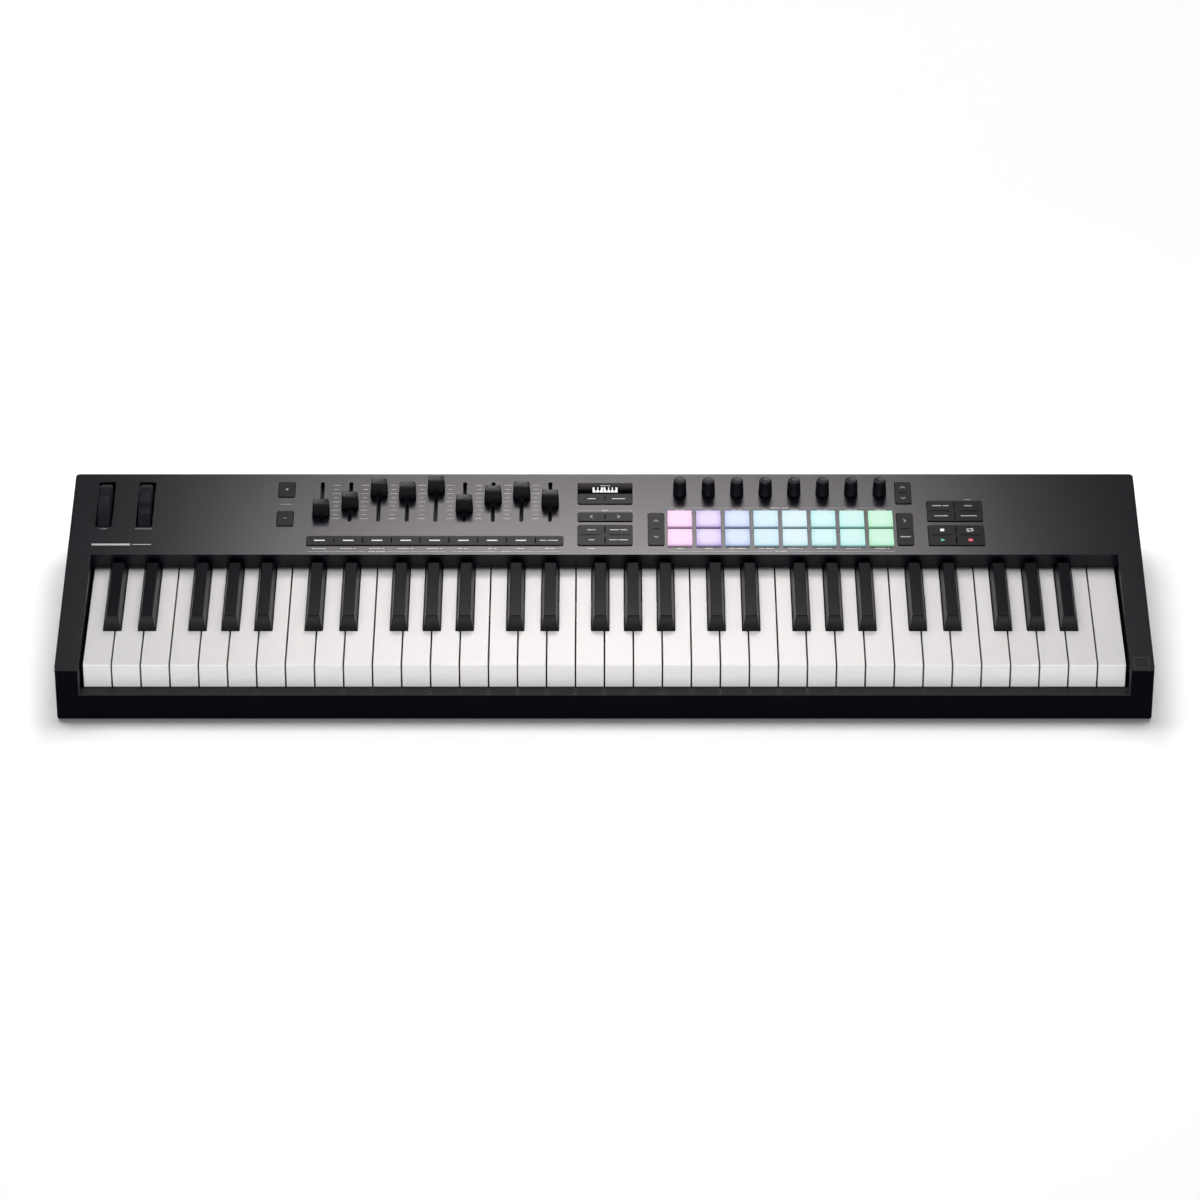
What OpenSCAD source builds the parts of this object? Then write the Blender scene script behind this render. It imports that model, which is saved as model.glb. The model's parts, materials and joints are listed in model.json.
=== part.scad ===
// Sixty-one key controller keyboard, built as its separate parts.
// X runs along the key row, Y from the player to the back, Z up.
// The origin is on the table under the middle of the case.
// Heights called "local" are measured square to the sloping top panel.

/* [Case] */
// Width of the case
case_w = 889.5; // [886:0.5:894]
// Depth of the case
case_d = 262; // [261:0.5:264]
// Height of the top surface at the front edge
front_h = 50.9; // [50:0.1:52]
// Slope of the top panel, rising to the back
panel_tilt = 4.32; // [4:0.01:4.6]
// Height of the rubber feet
foot_h = 2.6; // [2:0.1:4]
// Thickness of the case walls, floor and panel
wall = 2.5; // [2.2:0.1:2.6]
// Height of the visible edge of the top case above the seam
edge_band = 1.0; // [0.8:0.1:1.2]
// Radius of the upright case corners
corner_r = 3.5; // [2:0.5:5]
// Chamfer around the underside of the case
base_chamfer = 0.4; // [0.3:0.1:1.5]

/* [Key well] */
// Width of the well between the two cheeks
well_w = 850.2; // [849.4:0.1:851]
// Position of the wall behind the keys
well_back_y = 20.8; // [20:0.1:22]
// Height of the ledge in front of the keys
ledge_top = 26.8; // [26:0.1:28]
// Depth of that ledge
ledge_d = 10.1; // [9.5:0.1:10.4]

/* [Keys] */
// Distance from one white key to the next
white_pitch = 23.5; // [23.3:0.05:23.55]
// Gap between neighbouring white keys
key_gap = 1.3; // [1:0.1:1.5]
// Height of the white playing surface
white_top = 48.1; // [47.6:0.1:48.4]
// Front face of the white keys
white_front_y = -119.7; // [-120:0.1:-119]
// Front face of the black keys at white key level
black_front_y = -70; // [-72:0.5:-68]
// Width of a black key at its foot
black_w = 13.7; // [13:0.1:14]
// Width of a black key along its top
black_top_w = 9.2; // [8.5:0.1:10]
// Height of the black keys above the white ones
black_rise = 12; // [11:0.5:12.5]
// Backward lean of a black key's front face
black_lean = 4.2; // [3:0.1:6]
// Height of the key pivot rod above the table
pivot_z = 40; // [39.5:0.1:40.5]
// Distance of the key pivot rod behind the middle
pivot_y = 46; // [45:0.5:46]

/* [Wheels] */
// Radius of the pitch and modulation wheels
wheel_r = 34; // [33:0.5:34.5]
// Thickness of each wheel
wheel_t = 10.4; // [9:0.1:10.6]
// Height of each wheel above the panel
wheel_rise = 13; // [11:0.5:13.5]
// Forward roll of the modulation wheel, which rests at its front stop
mod_roll = 31; // [0:1:31]

/* [Controls] */
// Distance between neighbouring faders, encoders and pads
control_pitch = 23.9; // [23.8:0.05:24]
// Height of the buttons above the panel
button_rise = 0.9; // [0.7:0.1:1.2]
// Height of the pads above the panel
pad_rise = 1.8; // [1.4:0.1:2.2]
// Gap around each button and pad
button_gap = 0.4; // [0.3:0.05:0.5]
// Width of a fader slot
slot_w = 3.5; // [3:0.1:4]
// Height of an encoder knob
knob_h = 14; // [12:0.5:15]

/* [Hidden] */

// Case
front_y = -case_d / 2;
back_y = case_d / 2;
floor_top = foot_h + wall;
seam = 0.15;
lap = wall + seam;
ledge_y = front_y + ledge_d;
sky = 120;

// Fixings: [x, y] of the case screws, then of the keybed screws
boss_r = 4;
boss_split = 30;
cheek_x = (case_w + well_w) / 4;
back_boss_y = back_y - wall - boss_r - 0.3;
case_fixings = [
    for (side = [-1, 1]) for (y = [-118, 0, 118]) [side * cheek_x, y],
    for (side = [-1, 1]) [side * 130, back_boss_y]
];
keybed_fixings = [for (x = [-200, 200]) for (y = [-85, 25]) [x, y]];
screw_r = 1.5;
screw_head_r = 3;
screw_head_h = 1.9;

// Keybed
frame_low = floor_top + 1;
frame_t = 2.5;
frame_top = frame_low + frame_t;
frame_front_y = -117;
frame_back_y = 52;
pivot_r = 2;
pivot_gap = 0.3;
contact_front_y = -22;
contact_d = 34;
contact_z = 22;
board_t = 1.6;

// Keys
white_count = 36;
key_skin = 1.6;
key_top_skin = 3;
key_back_y = 51;
head_low = 30;
tail_low = 36;
skirt_low = 24;
nose = 1.3;
lip_h = 5.7;
lip_step = 0.4;
notch_w = black_w + 1.5;
notch_y = black_front_y - 0.9;
hook_d = 12;
black_shoulder = white_top + 0.8;
black_cap_back_y = 16.5;
black_stem_w = 8;
black_stem_top = white_top - 0.5;

// Which note each white key plays, C first, and how far the black key after
// it stands off the line between the two white keys
C = 0;
D = 1;
E = 2;
F = 3;
G = 4;
A = 5;
B = 6;
NOTES = 7;
sharp_offset = [-2.4, 2.4, 0, -3.4, 0, 3.4, 0];
has_sharp = [true, true, false, true, true, true, false];

// Wheels
wheel_y = 89;
pitch_x = -417.3;
mod_x = -383.6;
wheel_slot_w = 13.8;
wheel_slot_d = 61.6;
axle_r = 2.5;
axle_gap = 0.08;
bracket_plates = [-426.5, -401.7, -374.6];
bracket_plate_t = 2;

// Controls: boxes are [x low, x high, y low, y high]
fader_x = -236.6;
fader_count = 9;
fader_low_y = 69.6;
fader_high_y = 115.5;
fader_rest_y = [76.7, 86.7, 104.8, 100.4, 108.8, 82.6, 95.0, 100.5, 89.4];
fader_slot_y = [65.2, 119.7];
fader_cap_w = 14.8;
fader_cap_top_w = 12.9;
fader_cap_d = 11;
fader_cap_top_d = 6.7;
fader_cap_low = 0.9;
fader_cap_h = 12.3;
fader_blade_w = 1.2;
fader_blade_d = 4;
encoder_x = 63.1;
encoder_y = 103.8;
encoder_count = 8;
encoder_shaft_r = 3;
knob_low = 0.5;
knob_r = 5.8;
knob_top_r = 5.1;
pad_x = 52.6;
pad_w = 20.4;
pad_d = 21.5;
pad_upper_y = 57;
pad_lower_y = 32;
octave_up_box = [-273.2, -259.6, 98.6, 119];
octave_down_box = [-273.2, -259.6, 59.2, 79.3];
strip_box = [-247.2, -34.4, 32.8, 44.9];
window_box = [-22.2, 23.2, 102.9, 118.4];
display_box = [-22.2, 23.2, 89.1, 102.5];
track_box = [-22.1, 23.1, 65.3, 77.1];
mode_box = [-22.1, 23.1, 32.7, 60.1];
pad_bank_box = [36.4, 49.6, 32.8, 76.4];
encoder_bank_box = [243.6, 256.8, 89.4, 118.9];
function_box = [243.6, 256.8, 32.9, 76.4];
edit_box = [269.4, 315.5, 65.4, 93.1];
transport_box = [269.4, 315.6, 32.6, 59.8];
button_boxes = [
    octave_up_box, octave_down_box, strip_box, display_box, track_box, mode_box,
    pad_bank_box, encoder_bank_box, function_box, edit_box, transport_box
];
button_r = 1.4;
pad_r = 0.8;
groove_w = 0.9;
groove_deep = 0.5;

// Local heights under the panel
flange_top = -wall - 0.15;
flange_t = 1;
flange_out = 1.2;
pad_flange_out = 0.6;
plunger_low = -5;
switch_top = -6.2;
board_top = -9.4;
track_top = -3.2;

// Rear sockets
socket_plate = [-330, -170, 15, 41];
socket_z = 28;
usb_x = -310;
midi_x = -275;
pedal_x = [-235, -198];
pedal_bore_r = 3.2;
midi_bore_r = 6.85;

// ---------- shared shapes ----------

function panel_z(y) = front_h + (y - front_y) * tan(panel_tilt);

function corner_sign(c) = [c == 0 || c == 3 ? 1 : -1, c < 2 ? 1 : -1];

// Outline of a rectangle whose corners are short chains of straight edges
function soft_outline(w, d, r, steps = 3) = [
    for (c = [0:3])
        for (k = [0:steps])
            let (a = 90 * c + 90 * k / steps)
            [
                corner_sign(c)[0] * (w / 2 - r) + r * cos(a),
                corner_sign(c)[1] * (d / 2 - r) + r * sin(a)
            ]
];

// Extrudes a side view, drawn as [y, z] points, from x0 to x1
module side_prism(points, x0, x1) {
    translate([x0, 0, 0])
        rotate([90, 0, 90])
            linear_extrude(x1 - x0)
                polygon(points);
}

// Extrudes a front view, drawn as [x, z] points, from y0 to y1
module front_prism(points, y0, y1) {
    translate([0, y1, 0])
        rotate([90, 0, 0])
            linear_extrude(y1 - y0)
                polygon(points);
}

// Upright block with the case's outline, drawn in by inset
module plan_prism(inset, z0, z1) {
    translate([0, 0, z0])
        linear_extrude(z1 - z0)
            polygon(soft_outline(case_w - 2 * inset, case_d - 2 * inset, max(corner_r - inset, 0.8), 4));
}

// Box given by its low and high corners
module box(low, high) {
    translate(low)
        cube(high - low);
}

// Places its children on the top panel at x, y, square to the slope
module at_panel(x, y) {
    translate([x, y, panel_z(y)])
        rotate([panel_tilt, 0, 0])
            children();
}

// Block standing square to the panel, over the box b, between two local heights
module panel_block(b, low, high, grow = 0, r = button_r) {
    at_panel((b[0] + b[1]) / 2, (b[2] + b[3]) / 2)
        translate([0, 0, low])
            linear_extrude(high - low)
                polygon(soft_outline(b[1] - b[0] + 2 * grow, b[3] - b[2] + 2 * grow, r));
}

// Layer of the sloping top between two depths below its surface
module top_layer(depth_0, depth_1, inset) {
    intersection() {
        plan_prism(inset, floor_top, sky);
        side_prism(
            [
                [front_y, panel_z(front_y) - depth_1],
                [back_y, panel_z(back_y) - depth_1],
                [back_y, panel_z(back_y) - depth_0],
                [front_y, panel_z(front_y) - depth_0]
            ],
            -case_w / 2, case_w / 2
        );
    }
}

// ---------- top case ----------

function fader_at(i) = fader_x + control_pitch * i;
function encoder_at(i) = encoder_x + control_pitch * i;
function pad_box(i, y) = [
    pad_x + control_pitch * i, pad_x + control_pitch * i + pad_w, y, y + pad_d
];

// Everything that is cut through the sloping panel
module panel_holes() {
    deep = -wall - 1;
    high = 1;
    for (x = [pitch_x, mod_x])
        panel_block(
            [
                x - wheel_slot_w / 2, x + wheel_slot_w / 2,
                wheel_y - wheel_slot_d / 2, wheel_y + wheel_slot_d / 2
            ],
            deep - 2, high
        );
    for (b = button_boxes)
        panel_block(b, deep, high, button_gap);
    panel_block([window_box[0], window_box[1], display_box[2], window_box[3]], deep, high, button_gap);
    for (y = [pad_upper_y, pad_lower_y])
        for (i = [0:encoder_count - 1])
            panel_block(pad_box(i, y), deep, high, button_gap, pad_r);
    for (i = [0:fader_count - 1])
        panel_block(
            [fader_at(i) - slot_w / 2, fader_at(i) + slot_w / 2, fader_slot_y[0], fader_slot_y[1]],
            deep, high, 0, slot_w / 2 - 0.01
        );
    for (i = [0:encoder_count - 1])
        at_panel(encoder_at(i), encoder_y)
            translate([0, 0, deep])
                cylinder(r = encoder_shaft_r + 1, h = high - deep, $fn = 12);
}

// Lip that closes the well on one side, at x > 0
module well_cheek() {
    inner = well_w / 2;
    low = frame_low + 2;
    back = well_back_y + 2;
    side_prism(
        [
            [front_y + lap, low],
            [back, low],
            [back, panel_z(back) - edge_band / 2],
            [front_y + lap, panel_z(front_y + lap) - edge_band / 2]
        ],
        inner, inner + 2
    );
    box(
        [inner, front_y, ledge_top - edge_band],
        [inner + edge_band, front_y + lap + 0.5, front_h - edge_band / 2]
    );
}

module well_ledge() {
    half = well_w / 2 + edge_band;
    box([-half, front_y, ledge_top - edge_band], [half, ledge_y, ledge_top]);
    box([-half, front_y + lap, ledge_top - wall], [half, ledge_y, ledge_top - edge_band / 2]);
    box([-half, ledge_y - 1.5, frame_low + 4], [half, ledge_y, ledge_top - edge_band / 2]);
}

module well_back_wall() {
    half = well_w / 2 + 1;
    back = well_back_y + 2;
    side_prism(
        [
            [well_back_y, white_top + 1.5],
            [back, white_top + 1.5],
            [back, panel_z(back) - edge_band / 2],
            [well_back_y, panel_z(well_back_y) - edge_band / 2]
        ],
        -half, half
    );
}

// Screw posts that hang from the lid
module lid_posts() {
    for (p = case_fixings)
        difference() {
            translate([p[0], p[1], boss_split])
                cylinder(r = boss_r, h = panel_z(p[1]) - wall / 2 - boss_split - 0.8, $fn = 12);
            translate([p[0], p[1], boss_split - 1])
                cylinder(r = screw_r + 0.25, h = 13, $fn = 12);
        }
}

module top_case() {
    color([0.17, 0.17, 0.18]) {
        difference() {
            union() {
                top_layer(0, edge_band, 0);
                top_layer(edge_band / 2, wall, lap);
            }
            box(
                [-well_w / 2, front_y - 1, floor_top],
                [well_w / 2, well_back_y, sky]
            );
            panel_holes();
        }
        well_cheek();
        mirror([1, 0, 0])
            well_cheek();
        well_ledge();
        well_back_wall();
        lid_posts();
    }
}

// ---------- bottom case ----------

// Outer shape of the tray, before it is hollowed
module tray_body() {
    top_front = panel_z(front_y) - edge_band - seam;
    top_back = panel_z(back_y) - edge_band - seam;
    c = base_chamfer;
    half = case_w / 2;
    intersection() {
        plan_prism(0, foot_h, sky);
        side_prism(
            [
                [front_y + c, foot_h], [back_y - c, foot_h], [back_y, foot_h + c],
                [back_y, top_back], [front_y, top_front], [front_y, foot_h + c]
            ],
            -half, half
        );
        front_prism(
            [
                [-half + c, foot_h], [half - c, foot_h], [half, foot_h + c],
                [half, sky], [-half, sky], [-half, foot_h + c]
            ],
            front_y, back_y
        );
    }
}

module bottom_case() {
    notch = well_w / 2 + edge_band + seam;
    color([0.035, 0.035, 0.045])
        difference() {
            union() {
                difference() {
                    tray_body();
                    plan_prism(wall, floor_top, sky);
                }
                for (p = case_fixings)
                    translate([p[0], p[1], floor_top - 0.5])
                        cylinder(r = boss_r, h = boss_split - floor_top + 0.4, $fn = 12);
                for (y = [-95, 20])
                    box([-415, y, floor_top - 0.5], [415, y + 10, frame_low]);
            }
            box([-notch, front_y - 1, ledge_top - edge_band - seam], [notch, front_y + wall + 1, sky]);
            for (p = concat(case_fixings, keybed_fixings))
                translate([p[0], p[1], foot_h - 1]) {
                    cylinder(r = screw_head_r + 0.5, h = 1 + screw_head_h + 0.2, $fn = 12);
                    cylinder(r = screw_r + 0.25, h = boss_split, $fn = 12);
                }
            box(
                [socket_plate[0] - seam, back_y - wall - 1, socket_plate[2] - seam],
                [socket_plate[1] + seam, back_y + 1, socket_plate[3] + seam]
            );
        }
}

module feet() {
    foot_r = 10;
    color([0.06, 0.06, 0.06])
        for (x = [-400, 0, 400])
            for (y = [-100, 104])
                translate([x, y, 0]) {
                    cylinder(r1 = foot_r - 0.8, r2 = foot_r, h = 0.8, $fn = 64);
                    translate([0, 0, 0.8])
                        cylinder(r = foot_r, h = foot_h - 0.8, $fn = 64);
                }
}

module screw(x, y, top) {
    head_z = foot_h + 0.2;
    translate([x, y, head_z])
        difference() {
            union() {
                cylinder(r = screw_head_r, h = screw_head_h, $fn = 48);
                cylinder(r = screw_r, h = top - head_z, $fn = 32);
            }
            for (a = [0, 90])
                rotate([0, 0, a])
                    box([-1.8, -0.35, -1], [1.8, 0.35, 1.1]);
        }
}

module case_screws() {
    color([0.12, 0.12, 0.13]) {
        for (p = case_fixings)
            screw(p[0], p[1], 40);
        for (p = keybed_fixings)
            screw(p[0], p[1], 13);
    }
}

// ---------- keys ----------

function line_x(i) = (i - white_count / 2) * white_pitch;
function sharp_after(i) = i >= 0 && i < white_count - 1 && has_sharp[i % NOTES];
function sharp_x(i) = line_x(i + 1) + sharp_offset[i % NOTES];
function tail_x0(i) = sharp_after(i - 1) ? sharp_x(i - 1) + notch_w / 2 : line_x(i) + key_gap / 2;
function tail_x1(i) = sharp_after(i) ? sharp_x(i) - notch_w / 2 : line_x(i + 1) - key_gap / 2;

// Open-bottomed slot at the back of every key, which hooks over the pivot rod
module pivot_cut(x0, x1) {
    reach = pivot_r + pivot_gap;
    box(
        [x0 - 1, pivot_y - reach, tail_low - 1],
        [x1 + 1, pivot_y + reach, pivot_z + reach]
    );
}

module white_key(i) {
    x0 = line_x(i) + key_gap / 2;
    x1 = line_x(i + 1) - key_gap / 2;
    s = key_skin;
    under = white_top - key_top_skin;
    skirt_y = white_front_y + lip_step;
    difference() {
        union() {
            side_prism(
                [
                    [white_front_y, white_top - lip_h],
                    [white_front_y, white_top - nose],
                    [white_front_y + nose * 0.3, white_top - nose * 0.3],
                    [white_front_y + nose, white_top],
                    [notch_y, white_top],
                    [notch_y, head_low],
                    [skirt_y, head_low],
                    [skirt_y, white_top - lip_h]
                ],
                x0, x1
            );
            box([x0, skirt_y, skirt_low], [x1, white_front_y + 2, white_top - lip_h]);
            box([tail_x0(i), notch_y - 5, tail_low], [tail_x1(i), key_back_y, white_top]);
        }
        box([x0 + s, white_front_y + 2, head_low - 1], [x1 - s, notch_y - s, under]);
        box(
            [tail_x0(i) + s, notch_y - s - 1, head_low - 1],
            [tail_x1(i) - s, key_back_y - hook_d, under]
        );
        pivot_cut(x0, x1);
    }
}

module black_key(i) {
    x = sharp_x(i);
    half = black_w / 2;
    half_top = black_top_w / 2;
    half_stem = black_stem_w / 2;
    top = white_top + black_rise;
    difference() {
        union() {
            intersection() {
                translate([x, 0, 0])
                    front_prism(
                        [
                            [-half, tail_low], [half, tail_low], [half, black_shoulder],
                            [half_top, top], [-half_top, top], [-half, black_shoulder]
                        ],
                        black_front_y, black_cap_back_y
                    );
                side_prism(
                    [
                        [black_front_y, tail_low],
                        [black_cap_back_y, tail_low],
                        [black_cap_back_y, top - 6],
                        [black_cap_back_y - 1.6, top - 2],
                        [black_cap_back_y - 4.5, top],
                        [black_front_y + black_lean + 1, top],
                        [black_front_y + black_lean, top - 0.6],
                        [black_front_y, black_shoulder]
                    ],
                    x - half, x + half
                );
            }
            box(
                [x - half_stem, black_cap_back_y - 2, tail_low],
                [x + half_stem, key_back_y, black_stem_top]
            );
        }
        box(
            [x - half + key_skin, black_front_y + key_skin, tail_low - 1],
            [x + half - key_skin, black_cap_back_y - key_skin, black_shoulder]
        );
        pivot_cut(x - half, x + half);
    }
}

// All the white keys that play one note
module white_keys(note) {
    color([0.93, 0.92, 0.9])
        for (i = [note:NOTES:white_count - 1])
            white_key(i);
}

// All the black keys that follow one white note
module black_keys(note) {
    color([0.09, 0.09, 0.1])
        for (i = [note:NOTES:white_count - 2])
            black_key(i);
}

module keys_c() white_keys(C);
module keys_c_sharp() black_keys(C);
module keys_d() white_keys(D);
module keys_d_sharp() black_keys(D);
module keys_e() white_keys(E);
module keys_f() white_keys(F);
module keys_f_sharp() black_keys(F);
module keys_g() white_keys(G);
module keys_g_sharp() black_keys(G);
module keys_a() white_keys(A);
module keys_a_sharp() black_keys(A);
module keys_b() white_keys(B);

// ---------- keybed ----------

// Middle of each key's hidden tail, white and black, in no fixed order
key_middles = concat(
    [for (i = [0:white_count - 1]) (tail_x0(i) + tail_x1(i)) / 2],
    [for (i = [0:white_count - 2]) if (sharp_after(i)) sharp_x(i)]
);

module keybed_frame() {
    half = well_w / 2 - 2;
    web = pivot_r / 2;
    color([0.3, 0.3, 0.32])
        difference() {
            union() {
                box([-half, frame_front_y, frame_low], [half, frame_back_y, frame_top]);
                box([-half, pivot_y - web, frame_top - 1], [half, pivot_y + web, pivot_z]);
                translate([-half, pivot_y, pivot_z])
                    rotate([0, 90, 0])
                        cylinder(r = pivot_r, h = 2 * half, $fn = 48);
                for (i = [0:white_count - 1])
                    guide_post((line_x(i) + line_x(i + 1)) / 2, -104, 8, 6, 33);
                for (i = [0:white_count - 2])
                    if (sharp_after(i))
                        guide_post(sharp_x(i), -58, 6, 5, 40);
                for (k = [-4:4])
                    box(
                        [k * 100 - 1.5, contact_front_y + 4, frame_top - 1],
                        [k * 100 + 1.5, contact_front_y + contact_d - 4, contact_z]
                    );
                for (p = keybed_fixings)
                    translate([p[0], p[1], frame_top - 1])
                        cylinder(r = boss_r, h = 6, $fn = 12);
            }
            for (p = keybed_fixings)
                translate([p[0], p[1], frame_low - 1])
                    cylinder(r = screw_r + 0.25, h = 12, $fn = 12);
        }
}

// Upright finger that keeps a key from swaying, inside its hollow cap
module guide_post(x, y, d, w, top) {
    box([x - w / 2, y, frame_top - 1], [x + w / 2, y + d, top]);
}

// One bent leaf under the back of each key, fixed to the pivot web
module key_springs() {
    leaf_w = 4;
    leaf_t = 0.4;
    foot_y = pivot_y - pivot_r / 2;
    color([0.7, 0.7, 0.72])
        for (x = key_middles)
            translate([x - leaf_w / 2, foot_y - leaf_t, 18]) {
                cube([leaf_w, leaf_t, 9]);
                translate([0, 0, 8])
                    rotate([50, 0, 0])
                        cube([leaf_w, leaf_t, 10]);
            }
}

module key_contact_board() {
    color([0.05, 0.3, 0.12])
        box(
            [-well_w / 2 + 6, contact_front_y, contact_z],
            [well_w / 2 - 6, contact_front_y + contact_d, contact_z + board_t]
        );
}

module key_contact_rubber() {
    sheet_t = 1.4;
    low = contact_z + board_t;
    color([0.8, 0.8, 0.78]) {
        box(
            [-well_w / 2 + 8, contact_front_y + 6, low],
            [well_w / 2 - 8, contact_front_y + contact_d - 6, low + sheet_t]
        );
        for (x = key_middles)
            box([x - 3, contact_front_y + 9, low], [x + 3, contact_front_y + contact_d - 9, low + 6.6]);
    }
}

module keybed_felt() {
    color([0.45, 0.1, 0.12])
        box([-well_w / 2 + 5, -116.5, frame_top], [well_w / 2 - 5, -108, frame_top + 3.2]);
}

// ---------- wheels ----------

module wheel(x, roll) {
    z = panel_z(wheel_y) + wheel_rise - wheel_r;
    edge = 0.9;
    half = wheel_t / 2;
    web = 2;
    hub_r = 8;
    rim_in = 19;
    dip_r = 8.5;
    dip_deep = 2.4;
    translate([x, wheel_y, z])
        rotate([roll, 0, 0])
            difference() {
                rotate([0, 90, 0])
                    rotate_extrude($fn = 128)
                        polygon([
                            [axle_r + axle_gap, -half], [hub_r, -half], [hub_r, -web],
                            [rim_in, -web], [rim_in, -half], [wheel_r - edge, -half],
                            [wheel_r, -half + edge], [wheel_r, half - edge], [wheel_r - edge, half],
                            [rim_in, half], [rim_in, web], [hub_r, web],
                            [hub_r, half], [axle_r + axle_gap, half]
                        ]);
                translate([-wheel_t, 0, wheel_r + dip_r - dip_deep])
                    rotate([0, 90, 0])
                        cylinder(r = dip_r, h = 2 * wheel_t, $fn = 96);
            }
}

module pitch_wheel() color([0.11, 0.11, 0.12]) wheel(pitch_x, 0);
module mod_wheel() color([0.11, 0.11, 0.12]) wheel(mod_x, mod_roll);

module wheel_bracket() {
    z = panel_z(wheel_y) + wheel_rise - wheel_r;
    low_x = bracket_plates[0];
    high_x = bracket_plates[2] + bracket_plate_t;
    color([0.25, 0.25, 0.27]) {
        box([low_x, 62, floor_top], [high_x, 116, floor_top + 2]);
        for (x = bracket_plates)
            box([x, wheel_y - 9, floor_top + 1], [x + bracket_plate_t, wheel_y + 9, z + 7]);
        translate([low_x + 0.5, wheel_y, z])
            rotate([0, 90, 0])
                cylinder(r = axle_r, h = high_x - low_x - 1, $fn = 64);
    }
}

// ---------- faders ----------

module fader(i) {
    half = fader_cap_w / 2;
    half_top = fader_cap_top_w / 2;
    deep = fader_cap_d / 2;
    deep_top = fader_cap_top_d / 2;
    low = fader_cap_low;
    high = fader_cap_low + fader_cap_h;
    dish = 1;
    color([0.07, 0.07, 0.08])
        at_panel(fader_at(i), fader_rest_y[i]) {
            intersection() {
                front_prism(
                    [
                        [-half, low], [half, low], [half, low + 1], [half_top, high],
                        [half_top * 0.5, high - dish * 0.75], [0, high - dish],
                        [-half_top * 0.5, high - dish * 0.75], [-half_top, high], [-half, low + 1]
                    ],
                    -deep, deep
                );
                side_prism(
                    [
                        [-deep, low], [deep, low], [deep, low + 1], [deep_top, high],
                        [-deep_top, high], [-deep, low + 1]
                    ],
                    -half, half
                );
            }
            box(
                [-fader_blade_w / 2, -fader_blade_d / 2, -7],
                [fader_blade_w / 2, fader_blade_d / 2, low + 1]
            );
        }
}

module fader_1() fader(0);
module fader_2() fader(1);
module fader_3() fader(2);
module fader_4() fader(3);
module fader_5() fader(4);
module fader_6() fader(5);
module fader_7() fader(6);
module fader_8() fader(7);
module fader_9() fader(8);

module fader_tracks() {
    track_w = 9;
    track_d = 60;
    mid_y = (fader_slot_y[0] + fader_slot_y[1]) / 2;
    color([0.08, 0.08, 0.09])
        for (i = [0:fader_count - 1])
            at_panel(fader_at(i), mid_y)
                difference() {
                    box([-track_w / 2, -track_d / 2, board_top], [track_w / 2, track_d / 2, track_top]);
                    box([-1.1, -27, -7.6], [1.1, 27, track_top + 1]);
                }
}

// ---------- encoders ----------

module encoder(i) {
    color([0.08, 0.08, 0.09])
        at_panel(encoder_at(i), encoder_y)
            rotate_extrude($fn = 64)
                polygon([
                    [0, -8], [encoder_shaft_r, -8], [encoder_shaft_r, knob_low], [knob_r, knob_low],
                    [knob_r, knob_low + 1], [knob_top_r + 0.1, knob_low + knob_h - 0.8],
                    [knob_top_r - 0.6, knob_low + knob_h], [0, knob_low + knob_h]
                ]);
}

module encoder_1() encoder(0);
module encoder_2() encoder(1);
module encoder_3() encoder(2);
module encoder_4() encoder(3);
module encoder_5() encoder(4);
module encoder_6() encoder(5);
module encoder_7() encoder(6);
module encoder_8() encoder(7);

module encoder_bodies() {
    body_w = 11;
    body_top = -3.4;
    color([0.55, 0.55, 0.57])
        for (i = [0:encoder_count - 1])
            at_panel(encoder_at(i), encoder_y)
                difference() {
                    box([-body_w / 2, -body_w / 2, board_top], [body_w / 2, body_w / 2, body_top]);
                    translate([0, 0, -8.4])
                        cylinder(r = encoder_shaft_r + axle_gap, h = 8, $fn = 64);
                }
}

// ---------- buttons and pads ----------

// Cap, retaining flange and plunger of one button moulding
module button(b, rise = button_rise, out = flange_out, r = button_r) {
    panel_block(b, plunger_low, rise, 0, r);
    panel_block(b, flange_top - flange_t, flange_top, out, r);
}

// Shallow line across a button's top, along y or x, between two of its zones
module groove(x0, x1, y0, y1) {
    panel_block([x0, x1, y0, y1], button_rise - groove_deep, button_rise + 1, 0, groove_w / 5);
}

// Short upright line at x, in the middle part of the box
module upright_groove(b, x, share = 0.5) {
    mid = (b[2] + b[3]) / 2;
    reach = (b[3] - b[2]) * share / 2;
    groove(x - groove_w / 2, x + groove_w / 2, mid - reach, mid + reach);
}

// Short level line at y, in the middle part of the box
module level_groove(b, y, share = 0.5) {
    mid = (b[0] + b[1]) / 2;
    reach = (b[1] - b[0]) * share / 2;
    groove(mid - reach, mid + reach, y - groove_w / 2, y + groove_w / 2);
}

// Button moulding marked into two columns
module twin_button(b) {
    color([0.16, 0.16, 0.17])
        difference() {
            button(b);
            upright_groove(b, (b[0] + b[1]) / 2);
        }
}

// Button moulding marked into two rows
module stacked_button(b) {
    color([0.16, 0.16, 0.17])
        difference() {
            button(b);
            level_groove(b, (b[2] + b[3]) / 2);
        }
}

// Button moulding marked into two columns and two rows
module quad_button(b) {
    mid_x = (b[0] + b[1]) / 2;
    mid_y = (b[2] + b[3]) / 2;
    reach_x = (b[1] - b[0]) * 0.18;
    reach_y = (b[3] - b[2]) * 0.17;
    color([0.16, 0.16, 0.17])
        difference() {
            button(b);
            for (side = [-1, 1]) {
                groove(
                    mid_x + side * reach_x * 1.5 - reach_x, mid_x + side * reach_x * 1.5 + reach_x,
                    mid_y - groove_w / 2, mid_y + groove_w / 2
                );
                groove(
                    mid_x - groove_w / 2, mid_x + groove_w / 2,
                    mid_y + side * reach_y * 1.5 - reach_y, mid_y + side * reach_y * 1.5 + reach_y
                );
            }
        }
}

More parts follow.
